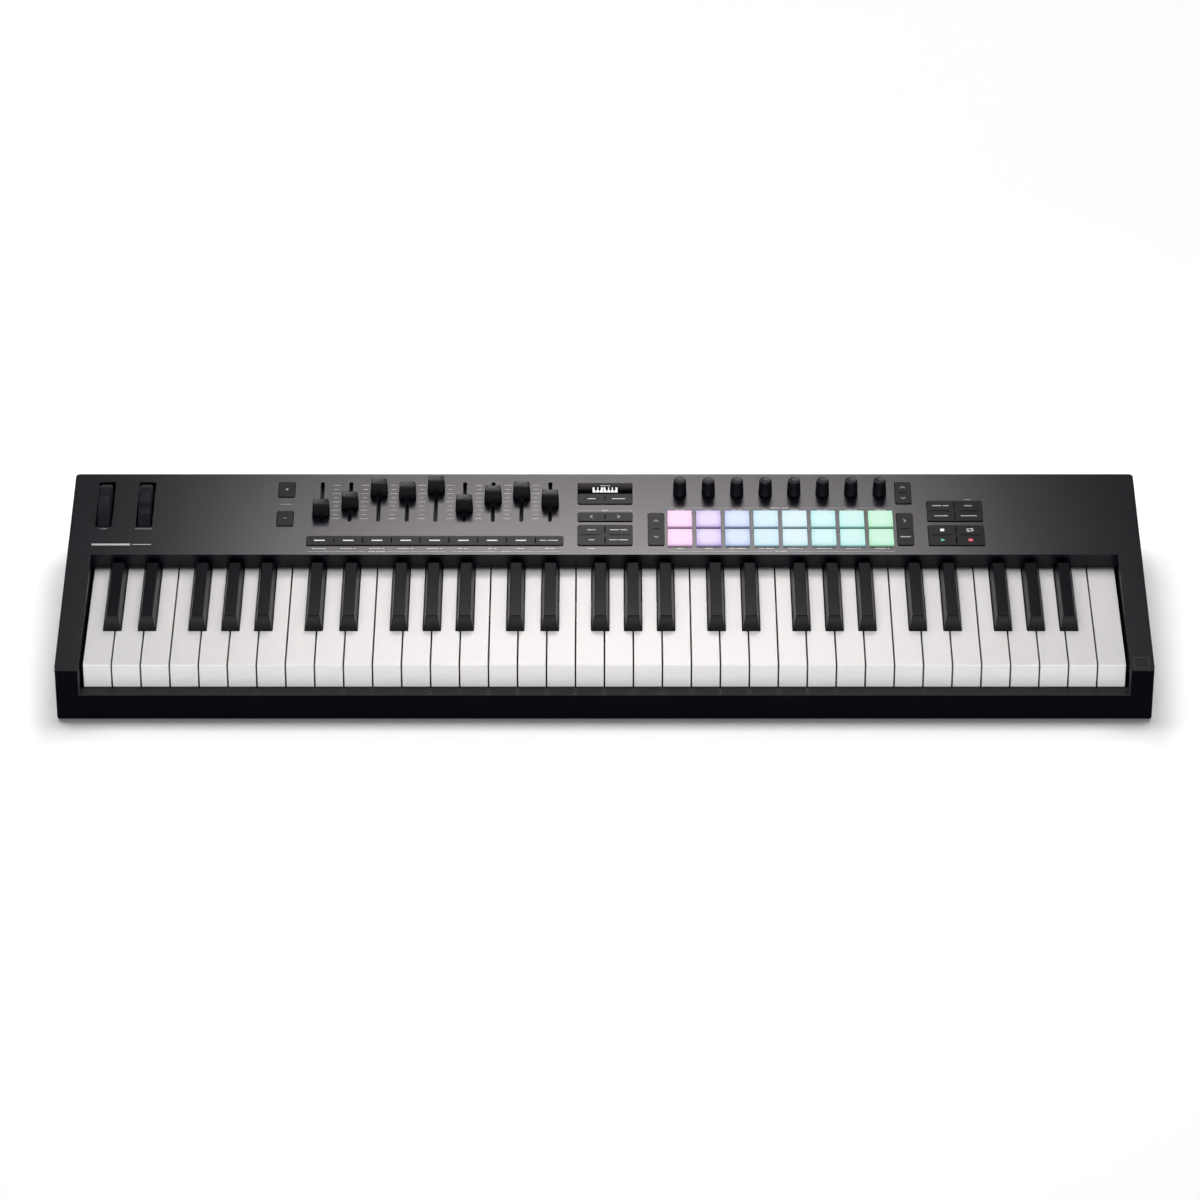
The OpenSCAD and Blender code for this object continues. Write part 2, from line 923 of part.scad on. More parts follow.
module octave_up_button() color([0.16, 0.16, 0.17]) button(octave_up_box);
module octave_down_button() color([0.16, 0.16, 0.17]) button(octave_down_box);
module display_keys() twin_button(display_box);
module track_keys() twin_button(track_box);
module mode_keys() quad_button(mode_box);
module pad_bank_keys() stacked_button(pad_bank_box);
module encoder_bank_keys() stacked_button(encoder_bank_box);
module function_keys() stacked_button(function_box);
module edit_keys() quad_button(edit_box);
module transport_keys() quad_button(transport_box);

module fader_button_strip() {
    color([0.16, 0.16, 0.17])
        difference() {
            button(strip_box);
            for (i = [0:fader_count - 2])
                upright_groove(strip_box, fader_at(i) + control_pitch / 2, 0.6);
        }
}

// One row of pads, each pad a solid of its own
module pad_row(y) {
    for (i = [0:encoder_count - 1])
        color([0.85 - 0.06 * i, 0.75 + 0.03 * i, 0.95 - 0.04 * i])
            button(pad_box(i, y), pad_rise, pad_flange_out, pad_r);
}

module pads_upper_row() pad_row(pad_upper_y);
module pads_lower_row() pad_row(pad_lower_y);

// ---------- display and boards ----------

module display_window() {
    color([0.02, 0.02, 0.025])
        panel_block(window_box, -1.2, 0.3);
}

module display_module() {
    b = [window_box[0] + 3, window_box[1] - 3, window_box[2] + 2.4, window_box[3] - 2];
    color([0.15, 0.15, 0.2])
        panel_block(b, -5, -1.2, 0, 0.5);
}

// Small switch block on the control board under a button
module switch_at(x, y) {
    at_panel(x, y)
        box([-3, -3, board_top - 0.5], [3, 3, switch_top]);
}

module control_boards() {
    b = [-282, 324, 27, 119];
    color([0.05, 0.3, 0.12]) {
        panel_block(b, board_top - board_t, board_top, 0, 1);
        for (k = button_boxes)
            switch_at((k[0] + k[1]) / 2, (k[2] + k[3]) / 2);
        for (y = [pad_upper_y, pad_lower_y])
            for (i = [0:encoder_count - 1])
                switch_at(pad_x + control_pitch * i + pad_w / 2, y + pad_d / 2);
        box([socket_plate[0], 90, 14], [socket_plate[1], back_y - wall - 1, 14 + board_t]);
    }
}

// ---------- rear sockets ----------

// Places its children with their z axis pointing out of the back
module at_back(x, depth) {
    translate([x, back_y - depth, socket_z])
        rotate([-90, 0, 0])
            children();
}

module rear_sockets() {
    usb_w = 9;
    usb_h = 3.3;
    usb_deep = 7;
    midi_deep = 9;
    pin_ring_r = 3.75;
    jack_deep = 26;
    p = socket_plate;
    color([0.08, 0.08, 0.09])
        difference() {
            union() {
                box([p[0], back_y - wall, p[2]], [p[1], back_y, p[3]]);
                box(
                    [usb_x - 6, back_y - usb_deep - 2, socket_z - 3.5],
                    [usb_x + 6, back_y - 1, socket_z + 3.5]
                );
                at_back(midi_x, 18)
                    cylinder(r = 9, h = 17, $fn = 64);
                for (x = pedal_x)
                    at_back(x, jack_deep + 2)
                        cylinder(r = 6.5, h = jack_deep, $fn = 64);
            }
            difference() {
                at_back(usb_x, usb_deep)
                    linear_extrude(usb_deep + 1)
                        polygon(soft_outline(usb_w, usb_h, 1.5, 5));
                box(
                    [usb_x - 3.3, back_y - usb_deep - 1, socket_z - 0.35],
                    [usb_x + 3.3, back_y - 0.8, socket_z + 0.35]
                );
            }
            at_back(midi_x, midi_deep)
                cylinder(r = midi_bore_r, h = midi_deep + 1, $fn = 64);
            for (a = [0:45:180])
                translate([midi_x + pin_ring_r * cos(a), back_y - 15, socket_z + pin_ring_r * sin(a)])
                    rotate([-90, 0, 0])
                        cylinder(r = 0.8, h = 12, $fn = 24);
            for (x = pedal_x)
                at_back(x, jack_deep)
                    cylinder(r = pedal_bore_r, h = jack_deep + 1, $fn = 64);
        }
}

// ---------- output ----------

top_case();
bottom_case();
keybed_frame();
key_springs();
key_contact_board();
key_contact_rubber();
keybed_felt();
control_boards();
display_module();
display_window();
fader_tracks();
encoder_bodies();
wheel_bracket();
rear_sockets();
feet();
case_screws();
keys_c();
keys_c_sharp();
keys_d();
keys_d_sharp();
keys_e();
keys_f();
keys_f_sharp();
keys_g();
keys_g_sharp();
keys_a();
keys_a_sharp();
keys_b();
pitch_wheel();
mod_wheel();
fader_1();
fader_2();
fader_3();
fader_4();
fader_5();
fader_6();
fader_7();
fader_8();
fader_9();
encoder_1();
encoder_2();
encoder_3();
encoder_4();
encoder_5();
encoder_6();
encoder_7();
encoder_8();
octave_up_button();
octave_down_button();
fader_button_strip();
display_keys();
track_keys();
mode_keys();
pad_bank_keys();
encoder_bank_keys();
function_keys();
edit_keys();
transport_keys();
pads_upper_row();
pads_lower_row();
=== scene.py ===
"""The looks of a sixty-one key controller keyboard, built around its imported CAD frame.

Lengths are in metres. X runs along the keys, Y to the back, Z up.
"""
import json
import math

import bmesh
import bpy
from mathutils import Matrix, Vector


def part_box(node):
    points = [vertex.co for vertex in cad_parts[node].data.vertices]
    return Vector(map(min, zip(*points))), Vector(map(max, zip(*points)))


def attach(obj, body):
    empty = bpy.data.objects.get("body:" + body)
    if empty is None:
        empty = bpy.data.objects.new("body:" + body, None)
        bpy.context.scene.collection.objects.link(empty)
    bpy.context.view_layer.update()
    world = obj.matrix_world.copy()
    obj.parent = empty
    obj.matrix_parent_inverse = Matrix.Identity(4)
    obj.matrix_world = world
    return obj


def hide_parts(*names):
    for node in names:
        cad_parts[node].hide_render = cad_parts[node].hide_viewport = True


MM = 0.001
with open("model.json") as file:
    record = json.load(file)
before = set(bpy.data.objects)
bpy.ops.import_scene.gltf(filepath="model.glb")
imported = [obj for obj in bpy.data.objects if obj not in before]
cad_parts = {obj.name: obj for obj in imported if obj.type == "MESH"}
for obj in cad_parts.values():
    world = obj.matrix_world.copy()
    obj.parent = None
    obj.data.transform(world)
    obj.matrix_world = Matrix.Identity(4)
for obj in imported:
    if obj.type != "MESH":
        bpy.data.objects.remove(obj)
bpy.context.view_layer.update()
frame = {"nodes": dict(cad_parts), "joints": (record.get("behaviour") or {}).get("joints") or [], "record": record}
NODES = frame["nodes"]
JOINTS = {j["name"]: j for j in frame["joints"]}
BODY_OF = {n: b for b, ns in frame["record"]["behaviour"]["bodies"].items() for n in ns}
SLOT_OF = {s["node"]: s["material_slot"] for s in frame["record"]["subparts"]}
CASE = BODY_OF["top_case"]

KEY_NODES = [n for n in NODES if n.startswith("keys_")]
BLACK_KEYS = [n for n in KEY_NODES if n.endswith("_sharp")]
WHITE_KEYS = [n for n in KEY_NODES if n not in BLACK_KEYS]
FADERS = [f"fader_{i}" for i in range(1, 10)]
ENCODERS = [f"encoder_{i}" for i in range(1, 9)]
PAD_ROWS = ["pads_upper_row", "pads_lower_row"]
BUTTONS = [n for n, s in SLOT_OF.items() if s == "button_rubber"]

CAP_FOOT = 0.9 * MM  # height over the panel where a fader cap begins
ARROW = 2.0 * MM     # half the width of an arrow on a button
SIGN_LINE = 0.65 * MM  # line width of the plus and minus signs


# ---------- the sloping panel ----------

PANEL_UP = Vector(JOINTS["encoder_1_turn"]["axis"]).normalized()
PANEL_AT = Vector(JOINTS["encoder_1_turn"]["pos_m"])
PANEL_SLOPE = Vector((0, PANEL_UP.z, -PANEL_UP.y))


def panel_point(x, y, height=0.0):
    """The point over plan position x, y, at a height square to the panel."""
    z = PANEL_AT.z - (y - PANEL_AT.y) * PANEL_UP.y / PANEL_UP.z
    return Vector((x, y, z)) + PANEL_UP * height


def height_over_panel(point):
    return (point - PANEL_AT).dot(PANEL_UP)


def top_face(node):
    """Plan box and height of a node's highest face: x low, x high, y low, y high, height."""
    points = [v.co for v in NODES[node].data.vertices]
    high = max(height_over_panel(p) for p in points)
    top = [p for p in points if height_over_panel(p) > high - 0.1 * MM]
    foot = [p - PANEL_UP * high for p in top]
    xs, ys = [p.x for p in foot], [p.y for p in foot]
    return min(xs), max(xs), min(ys), max(ys), high


# ---------- materials ----------

class Nodes:
    """A short way to write a material's node tree."""

    def __init__(self, name):
        self.material = bpy.data.materials.new(name)
        self.material.use_nodes = True
        self.tree = self.material.node_tree
        self.tree.nodes.clear()
        self.out = self.add("ShaderNodeOutputMaterial")
        self.shader = self.add("ShaderNodeBsdfPrincipled")
        self.link(self.shader.outputs["BSDF"], self.out.inputs["Surface"])
        self.place = self.add("ShaderNodeTexCoord").outputs["Object"]

    def add(self, kind, **values):
        node = self.tree.nodes.new(kind)
        for key, value in values.items():
            setattr(node, key, value)
        return node

    def link(self, a, b):
        self.tree.links.new(a, b)

    def set(self, **values):
        for key, value in values.items():
            self.shader.inputs[key.replace("_", " ")].default_value = value

    def noise(self, scale, detail=2.0, stretch=(1, 1, 1)):
        """A grey noise value; scale is in features per metre."""
        mapping = self.add("ShaderNodeMapping")
        mapping.inputs["Scale"].default_value = stretch
        self.link(self.place, mapping.inputs["Vector"])
        noise = self.add("ShaderNodeTexNoise")
        noise.inputs["Scale"].default_value = scale
        noise.inputs["Detail"].default_value = detail
        self.link(mapping.outputs["Vector"], noise.inputs["Vector"])
        return noise.outputs["Fac"]

    def ramp(self, value, stops):
        """Maps a value through colour stops, each a position and a colour."""
        ramp = self.add("ShaderNodeValToRGB")
        elements = ramp.color_ramp.elements
        while len(elements) < len(stops):
            elements.new(0.5)
        for element, (at, colour) in zip(elements, stops):
            element.position = at
            element.color = (*colour, 1)
        self.link(value, ramp.inputs["Fac"])
        return ramp.outputs["Color"]

    def span(self, value, low, high, from_low=0.3, from_high=0.7):
        """Maps a value onto a range."""
        node = self.add("ShaderNodeMapRange")
        node.inputs["From Min"].default_value = from_low
        node.inputs["From Max"].default_value = from_high
        node.inputs["To Min"].default_value = low
        node.inputs["To Max"].default_value = high
        self.link(value, node.inputs["Value"])
        return node.outputs["Result"]

    def math(self, operation, a, b=0.0):
        node = self.add("ShaderNodeMath", operation=operation)
        for socket, value in zip(node.inputs, (a, b)):
            if isinstance(value, (int, float)):
                socket.default_value = value
            else:
                self.link(value, socket)
        return node.outputs["Value"]

    def bump(self, *layers):
        """Stacks bump layers, each a grey value and its depth in metres."""
        normal = None
        for value, depth in layers:
            node = self.add("ShaderNodeBump")
            node.inputs["Strength"].default_value = 1.0
            node.inputs["Distance"].default_value = depth
            self.link(value, node.inputs["Height"])
            if normal is not None:
                self.link(normal, node.inputs["Normal"])
            normal = node.outputs["Normal"]
        self.link(normal, self.shader.inputs["Normal"])


def moulded(name, colour, rough, grain_depth=0.006 * MM, grain=2600, vary=0.08, **settings):
    """Moulded plastic or rubber: a fine spark-eroded grain, faint cloudiness and uneven gloss."""
    n = Nodes(name)
    darker = tuple(c * (1 - vary) for c in colour)
    lighter = tuple(c * (1 + vary) for c in colour)
    cloud = n.noise(22, 3)
    n.link(n.ramp(cloud, [(0.3, darker), (0.7, lighter)]), n.shader.inputs["Base Color"])
    uneven = vary * 0.05
    n.link(n.span(n.noise(60, 1), rough - uneven, rough + uneven), n.shader.inputs["Roughness"])
    n.bump((n.noise(grain, 2), grain_depth))
    n.set(**settings)
    return n.material


def white_plastic():
    """Polished key plastic: smooth, faintly wavy, a little cloudy."""
    n = Nodes("white_key_plastic")
    n.link(
        n.ramp(n.noise(9, 2), [(0.3, (0.506, 0.498, 0.490)), (0.7, (0.516, 0.508, 0.500))]),
        n.shader.inputs["Base Color"],
    )
    n.link(n.span(n.noise(20, 1), 0.295, 0.305), n.shader.inputs["Roughness"])
    n.bump((n.noise(30, 1), 0.003 * MM))
    n.set(Specular_IOR_Level=0.4)
    return n.material


def metal(name, colour, rough, brushed=(1, 1, 1)):
    n = Nodes(name)
    dull = tuple(c * 0.82 for c in colour)
    streak = n.noise(700, 3, brushed)
    n.link(n.ramp(streak, [(0.3, dull), (0.7, colour)]), n.shader.inputs["Base Color"])
    n.link(n.span(streak, rough - 0.05, rough + 0.08), n.shader.inputs["Roughness"])
    n.bump((streak, 0.006 * MM))
    n.set(Metallic=1.0)
    return n.material


def board_green():
    """Solder mask with faint copper tracks under it."""
    n = Nodes("solder_mask")
    tracks = n.noise(260, 1, (1, 0.25, 1))
    n.link(
        n.ramp(tracks, [(0.42, (0.012, 0.07, 0.025)), (0.5, (0.02, 0.12, 0.04))]),
        n.shader.inputs["Base Color"],
    )
    n.link(n.span(n.noise(90, 2), 0.25, 0.35), n.shader.inputs["Roughness"])
    n.bump((tracks, 0.02 * MM))
    return n.material


def felt():
    n = Nodes("pressed_felt")
    fibre = n.noise(1800, 6)
    n.link(
        n.ramp(fibre, [(0.3, (0.10, 0.012, 0.015)), (0.7, (0.24, 0.03, 0.04))]),
        n.shader.inputs["Base Color"],
    )
    n.link(n.span(fibre, 0.85, 0.98), n.shader.inputs["Roughness"])
    n.bump((fibre, 0.15 * MM))
    n.set(Sheen_Weight=0.4)
    return n.material


def glow(name, colour, strength, low=0.85):
    """A lamp seen through a moulded light guide: a little uneven."""
    n = Nodes(name)
    dim = tuple(c * low for c in colour)
    cloud = n.noise(900, 2)
    skin = [tuple(c * 0.12 for c in each) for each in (dim, colour)]
    n.link(n.ramp(cloud, [(0.3, skin[0]), (0.7, skin[1])]), n.shader.inputs["Base Color"])
    n.link(n.ramp(cloud, [(0.3, dim), (0.7, colour)]), n.shader.inputs["Emission Color"])
    n.set(Emission_Strength=strength, Roughness=0.5, Specular_IOR_Level=0.2)
    return n.material


def ink(name, colour, rough=0.55):
    """Screen-printed ink: slightly uneven cover."""
    n = Nodes(name)
    thin = tuple(c * 0.8 for c in colour)
    cover = n.noise(2400, 3)
    n.link(n.ramp(cover, [(0.35, thin), (0.65, colour)]), n.shader.inputs["Base Color"])
    n.link(n.span(cover, rough - 0.06, rough + 0.06), n.shader.inputs["Roughness"])
    n.bump((cover, 0.004 * MM))
    return n.material


def display_glass():
    """Black glass over the screen, with a sheen that fades from its back edge to its front; the sheen is partly a
    painted reflection in its colour and partly its real gloss.
    """
    n = Nodes("display_glass")
    _, _, y0, y1, _ = top_face("display_window")
    split = n.add("ShaderNodeSeparateXYZ")
    n.link(n.place, split.inputs["Vector"])
    back = n.span(split.outputs["Y"], 0.0, 1.0, y0, y1)
    # painted reflection: the glass's colour lightens toward its back edge in place of the mirrored softbox
    n.link(
        n.ramp(back, [(0.3, (0.0012, 0.0012, 0.0016)), (1.0, (0.019, 0.018, 0.021))]),
        n.shader.inputs["Base Color"],
    )
    n.link(n.span(back, 0.0, 0.045, 0.35, 1.0), n.shader.inputs["Specular IOR Level"])
    n.link(n.span(n.noise(90, 2), 0.16, 0.20), n.shader.inputs["Roughness"])
    n.bump((n.noise(200, 1), 0.0004 * MM))
    return n.material


PAD_RIMS = [
    (0.95, 0.62, 0.92), (0.56, 0.46, 0.82), (0.50, 0.60, 0.90), (0.58, 0.82, 0.97),
    (0.62, 0.89, 0.97), (0.50, 0.86, 0.87), (0.52, 0.96, 0.87), (0.49, 0.94, 0.62),
]
PAD_HEARTS = [
    (1.00, 0.79, 1.00), (0.86, 0.77, 1.00), (0.75, 0.85, 1.00), (0.73, 0.94, 1.00),
    (0.79, 0.97, 1.00), (0.72, 1.00, 1.00), (0.71, 1.00, 0.96), (0.68, 1.00, 0.81),
]


def lit_pads():
    """Milky silicone lit from below: each column has its hue, paler in the middle of a pad."""
    n = Nodes("lit_pad_silicone")
    x0, x1, y0, y1, top = top_face("pads_lower_row")
    first = Vector(JOINTS["encoder_1_turn"]["pos_m"]).x
    last = Vector(JOINTS["encoder_8_turn"]["pos_m"]).x
    pitch = (last - first) / (len(ENCODERS) - 1)
    width = x1 - x0 - pitch * (len(ENCODERS) - 1)
    row_step = top_face("pads_upper_row")[2] - y0
    split = n.add("ShaderNodeSeparateXYZ")
    n.link(n.place, split.inputs["Vector"])
    along = n.math("DIVIDE", n.math("SUBTRACT", split.outputs["X"], x0 + width / 2), pitch)
    column = n.math("ROUND", along)
    off_x = n.math("ABSOLUTE", n.math("SUBTRACT", along, column))
    up = n.math("DIVIDE", n.math("SUBTRACT", split.outputs["Y"], (y0 + y1) / 2), row_step)
    off_y = n.math("ABSOLUTE", n.math("SUBTRACT", up, n.math("ROUND", up)))
    from_middle = n.math(
        "POWER",
        n.math("ADD", n.math("POWER", off_x, 3.0), n.math("POWER", off_y, 3.0)),
        1 / 3,
    )
    share = n.math("DIVIDE", n.math("ADD", column, 0.5), len(ENCODERS))

    def by_column(colours):
        ramp = n.add("ShaderNodeValToRGB")
        ramp.color_ramp.interpolation = "CONSTANT"
        elements = ramp.color_ramp.elements
        while len(elements) < len(colours):
            elements.new(0.5)
        for k, colour in enumerate(colours):
            elements[k].position = k / len(colours)
            elements[k].color = (*colour, 1)
        n.link(share, ramp.inputs["Fac"])
        return ramp.outputs["Color"]

    mix = n.add("ShaderNodeMix", data_type="RGBA")
    n.link(n.span(from_middle, 0.0, 1.0, 0.28, 0.50), mix.inputs["Factor"])
    n.link(by_column(PAD_HEARTS), mix.inputs["A"])
    n.link(by_column(PAD_RIMS), mix.inputs["B"])
    n.link(mix.outputs["Result"], n.shader.inputs["Emission Color"])
    milk = n.add("ShaderNodeMix", data_type="RGBA", blend_type="MULTIPLY")
    milk.inputs["Factor"].default_value = 1.0
    milk.inputs["B"].default_value = (0.25, 0.25, 0.25, 1)
    n.link(mix.outputs["Result"], milk.inputs["A"])
    n.link(milk.outputs["Result"], n.shader.inputs["Base Color"])
    rise = n.math(
        "ADD",
        n.math("MULTIPLY", n.math("SUBTRACT", split.outputs["Z"], PANEL_AT.z), PANEL_UP.z),
        n.math("MULTIPLY", n.math("SUBTRACT", split.outputs["Y"], PANEL_AT.y), PANEL_UP.y),
    )
    wall_light, top_light = 0.26, 0.53
    n.link(
        n.span(rise, wall_light, top_light, top - 1.2 * MM, top - 0.2 * MM),
        n.shader.inputs["Emission Strength"],
    )
    n.link(n.span(n.noise(300, 2), 0.42, 0.52), n.shader.inputs["Roughness"])
    n.bump((n.noise(2600, 2), 0.004 * MM))
    n.set(Specular_IOR_Level=0.12)
    return n.material


MATERIALS = {
    "panel_plastic": moulded(
        "panel_plastic", (0.0012, 0.0011, 0.0034), 0.285, 0.002 * MM, Specular_IOR_Level=0.265
    ),
    "tray_plastic": moulded(
        "tray_plastic", (0.0015, 0.0014, 0.0025), 0.5, Specular_IOR_Level=0.01
    ),
    "white_key": white_plastic(),
    "black_key": moulded(
        "black_key_plastic", (0.0030, 0.0028, 0.0044), 0.33, 0.004 * MM, 2000,
        Specular_IOR_Level=0.05
    ),
    "keybed_plastic": moulded("keybed_plastic", (0.02, 0.02, 0.022), 0.6, 0.03 * MM, 1200),
    "spring_steel": metal("spring_steel", (0.55, 0.55, 0.57), 0.3, (1, 0.1, 1)),
    "circuit_board": board_green(),
    "contact_rubber": moulded("contact_silicone", (0.45, 0.45, 0.43), 0.55, 0.02 * MM, 900),
    "felt": felt(),
    "display_gloss": display_glass(),
    "display_part": moulded("display_part", (0.02, 0.02, 0.025), 0.3),
    "track_plastic": moulded("track_plastic", (0.03, 0.029, 0.033), 0.7, Specular_IOR_Level=0.1),
    "part_metal": metal("pressed_metal", (0.5, 0.5, 0.52), 0.35),
    "bracket_plastic": moulded("bracket_plastic", (0.008, 0.008, 0.009), 0.55),
    "socket_plastic": moulded(
        "socket_plastic", (0.004, 0.004, 0.005), 0.45, Specular_IOR_Level=0.2
    ),
    "foot_rubber": moulded("foot_rubber", (0.012, 0.012, 0.012), 0.8, 0.06 * MM, 900),
    "screw_steel": metal("black_oxide_steel", (0.06, 0.06, 0.065), 0.38),
    "wheel_rubber": moulded(
        "wheel_rubber", (0.0095, 0.0090, 0.0115), 0.45, 0.01 * MM, 1500, Specular_IOR_Level=0.03
    ),
    "fader_plastic": moulded(
        "fader_plastic", (0.0008, 0.0007, 0.0015), 0.33, 0.004 * MM, Specular_IOR_Level=0.115
    ),
    "knob_plastic": moulded(
        "knob_plastic", (0.0042, 0.0039, 0.0056), 0.33, 0.004 * MM, Specular_IOR_Level=0.095
    ),
    "button_rubber": moulded(
        "button_rubber", (0.0050, 0.0046, 0.0066), 0.34, 0.006 * MM, Specular_IOR_Level=0.058
    ),
    "pad_silicone": lit_pads(),
}
PRINT = ink("pale_print", (0.36, 0.36, 0.37))
DIM_PRINT = ink("dim_print", (0.13, 0.13, 0.135))
FAINT_PRINT = ink("faint_print", (0.31, 0.305, 0.31))
BRIGHT_PRINT = ink("bright_print", (0.38, 0.38, 0.385))
# painted shade: the near-black sheets laid in the button grooves
GROOVE_SHADE = moulded("groove_shade", (0.0010, 0.0009, 0.0016), 0.7, Specular_IOR_Level=0.01)
MARK = ink("tone_mark", (0.026, 0.026, 0.03))
WHITE_LIGHT = glow("white_light", (0.95, 0.95, 0.96), 0.85)
SCREEN_LIGHT = glow("screen_light", (0.95, 0.97, 1.0), 0.85)
GREEN_LIGHT = glow("green_light", (0.10, 0.60, 0.36), 0.85)
RED_LIGHT = glow("red_light", (0.75, 0.11, 0.17), 0.85)
GOLD = metal("gold_contact", (0.85, 0.62, 0.25), 0.25)
NICKEL = metal("nickel_shell", (0.62, 0.61, 0.58), 0.28)


# ---------- mesh helpers ----------

def paint(obj, material):
    obj.data.materials.clear()
    obj.data.materials.append(material)


def smooth(obj):
    obj.data.polygons.foreach_set("use_smooth", [True] * len(obj.data.polygons))


def add_piece(name, bm, material, body, replaces=(), sharp=35):
    """Turns finished bmesh geometry into a piece that rides on a body."""
    bmesh.ops.recalc_face_normals(bm, faces=bm.faces)
    mesh = bpy.data.meshes.new(name)
    bm.to_mesh(mesh)
    bm.free()
    obj = bpy.data.objects.new(name, mesh)
    bpy.context.scene.collection.objects.link(obj)
    smooth(obj)
    mesh.set_sharp_from_angle(angle=math.radians(sharp))
    paint(obj, material)
    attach(obj, body)
    if replaces:
        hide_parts(*replaces)


def soften(node, width, segments=3, angle=40):
    """Rounds a CAD node's edges with modifiers and gives it even shading."""
    obj = NODES[node]
    smooth(obj)
    normals = obj.data.attributes.get("custom_normal")
    if normals:
        obj.data.attributes.remove(normals)
    weld = obj.modifiers.new("weld", "WELD")
    weld.merge_threshold = 0.002 * MM
    flat = obj.modifiers.new("flat", "DECIMATE")
    flat.decimate_type = "DISSOLVE"
    flat.angle_limit = math.radians(0.4)
    bevel = obj.modifiers.new("bevel", "BEVEL")
    bevel.width = width
    bevel.segments = segments
    bevel.limit_method = "ANGLE"
    bevel.angle_limit = math.radians(angle)
    bevel.miter_outer = "MITER_ARC"
    even = obj.modifiers.new("even", "WEIGHTED_NORMAL")
    even.mode = "FACE_AREA"
    even.weight = 100
    even.keep_sharp = False


def ring_of(bm, points):
    return [bm.verts.new(p) for p in points]


def bridge(bm, low, high):
    """Faces between two rings of the same length."""
    count = len(low)
    for k in range(count):
        bm.faces.new((low[k], low[(k + 1) % count], high[(k + 1) % count], high[k]))


def loft(bm, rings):
    """A closed solid through rings of points, with flat ends."""
    loops = [ring_of(bm, ring) for ring in rings]
    for low, high in zip(loops, loops[1:]):
        bridge(bm, low, high)
    bm.faces.new(list(reversed(loops[0])))
    bm.faces.new(loops[-1])


def turn(bm, profile, place, steps=64, closed=False):
    """Turns radius, height points into a solid; place maps x, y, height to space."""
    rings = []
    for radius, height in profile:
        rings.append(ring_of(bm, [
            place(
                radius * math.cos(2 * math.pi * k / steps),
                radius * math.sin(2 * math.pi * k / steps),
                height,
            )
            for k in range(steps)
        ]))
    for low, high in zip(rings, rings[1:]):
        bridge(bm, low, high)
    if closed:
        bridge(bm, rings[-1], rings[0])
    else:
        bm.faces.new(list(reversed(rings[0])))
        bm.faces.new(rings[-1])


def arc(x, y, radius, start, end, steps):
    """Points along an arc, angles in degrees."""
    points = []
    for k in range(steps + 1):
        a = math.radians(start + (end - start) * k / steps)
        points.append((x + radius * math.cos(a), y + radius * math.sin(a)))
    return points


def rounded_rectangle(half_x, half_y, radius, steps=6):
    """Outline points of a rectangle with round corners, anticlockwise."""
    points = []
    for corner, (sx, sy) in enumerate([(1, 1), (-1, 1), (-1, -1), (1, -1)]):
        x, y = sx * (half_x - radius), sy * (half_y - radius)
        points += arc(x, y, radius, 90 * corner, 90 * corner + 90, steps)
    return points


# ---------- printed marks ----------

class Sheet:
    """Thin raised marks over one body's sloping surface, gathered into one mesh."""

    def __init__(self, base, thick=0.06 * MM):
        self.bm = bmesh.new()
        self.low = base - thick / 2
        self.high = base + thick / 2

    def shape(self, outline):
        """A flat mark with this outline of x, y plan points."""
        loft(self.bm, [
            [panel_point(x, y, self.low) for x, y in outline],
            [panel_point(x, y, self.high) for x, y in outline],
        ])

    def bar(self, x, y, w, h, radius=None):
        r = min(w, h) * 0.35 if radius is None else radius
        self.shape([(x + px, y + py) for px, py in rounded_rectangle(w / 2, h / 2, r, 3)])

    def disc(self, x, y, r):
        self.shape(arc(x, y, r, 0, 360 - 360 / 28, 27))

    def stroke(self, points, width):
        """A line of even width along the points, mitred at its corners."""
        left, right = [], []
        last = len(points) - 1
        for k, p in enumerate(points):
            here = Vector(p)
            into = (here - Vector(points[k - 1])).normalized() if k else None
            out = (Vector(points[k + 1]) - here).normalized() if k < last else into
            into = into or out
            along = (into + out).normalized()
            side = Vector((-along.y, along.x)) * width / 2 / max(0.3, along.dot(into))
            left.append(tuple(here + side))
            right.append(tuple(here - side))
        self.shape(right + left[::-1])

    def chevron(self, x, y, size, angle):
        """A V-shaped arrow; angle 0 points up and 90 points left."""
        a = math.radians(angle)
        points = []
        for px, py in [(-size, -size * 0.5), (0, size * 0.5), (size, -size * 0.5)]:
            points.append((
                x + px * math.cos(a) - py * math.sin(a),
                y + px * math.sin(a) + py * math.cos(a),
            ))
        self.stroke(points, size * 0.26)

    def words(self, x, y, lengths, h=1.0 * MM, gap=0.9 * MM):
        """Plain bars in place of words, centred on x; lengths are in millimetres."""
        start = x - (sum(lengths) * MM + gap * (len(lengths) - 1)) / 2
        for length in lengths:
            self.bar(start + length * MM / 2, y, length * MM, h)
            start += length * MM + gap

    def rule(self, x0, x1, y, middle=0.0, thick=0.3 * MM):
        """A thin line, left open around its middle for a word."""
        half = (x1 - x0 - middle) / 2
        if middle:
            self.bar(x0 + half / 2, y, half, thick)
            self.bar(x1 - half / 2, y, half, thick)
        else:
            self.bar((x0 + x1) / 2, y, x1 - x0, thick)

    def done(self, name, material, body):
        add_piece(name, self.bm, material, body)


def zone(node, column, columns, row=0, rows=1):
    """Middle of one zone of a button's top face; row 0 is the back row."""
    x0, x1, y0, y1, _ = top_face(node)
    return (
        x0 + (x1 - x0) * (column + 0.5) / columns,
        y1 - (y1 - y0) * (row + 0.5) / rows,
    )


def button_sheet(node):
    return Sheet(top_face(node)[4])


# ---------- rounded CAD nodes ----------

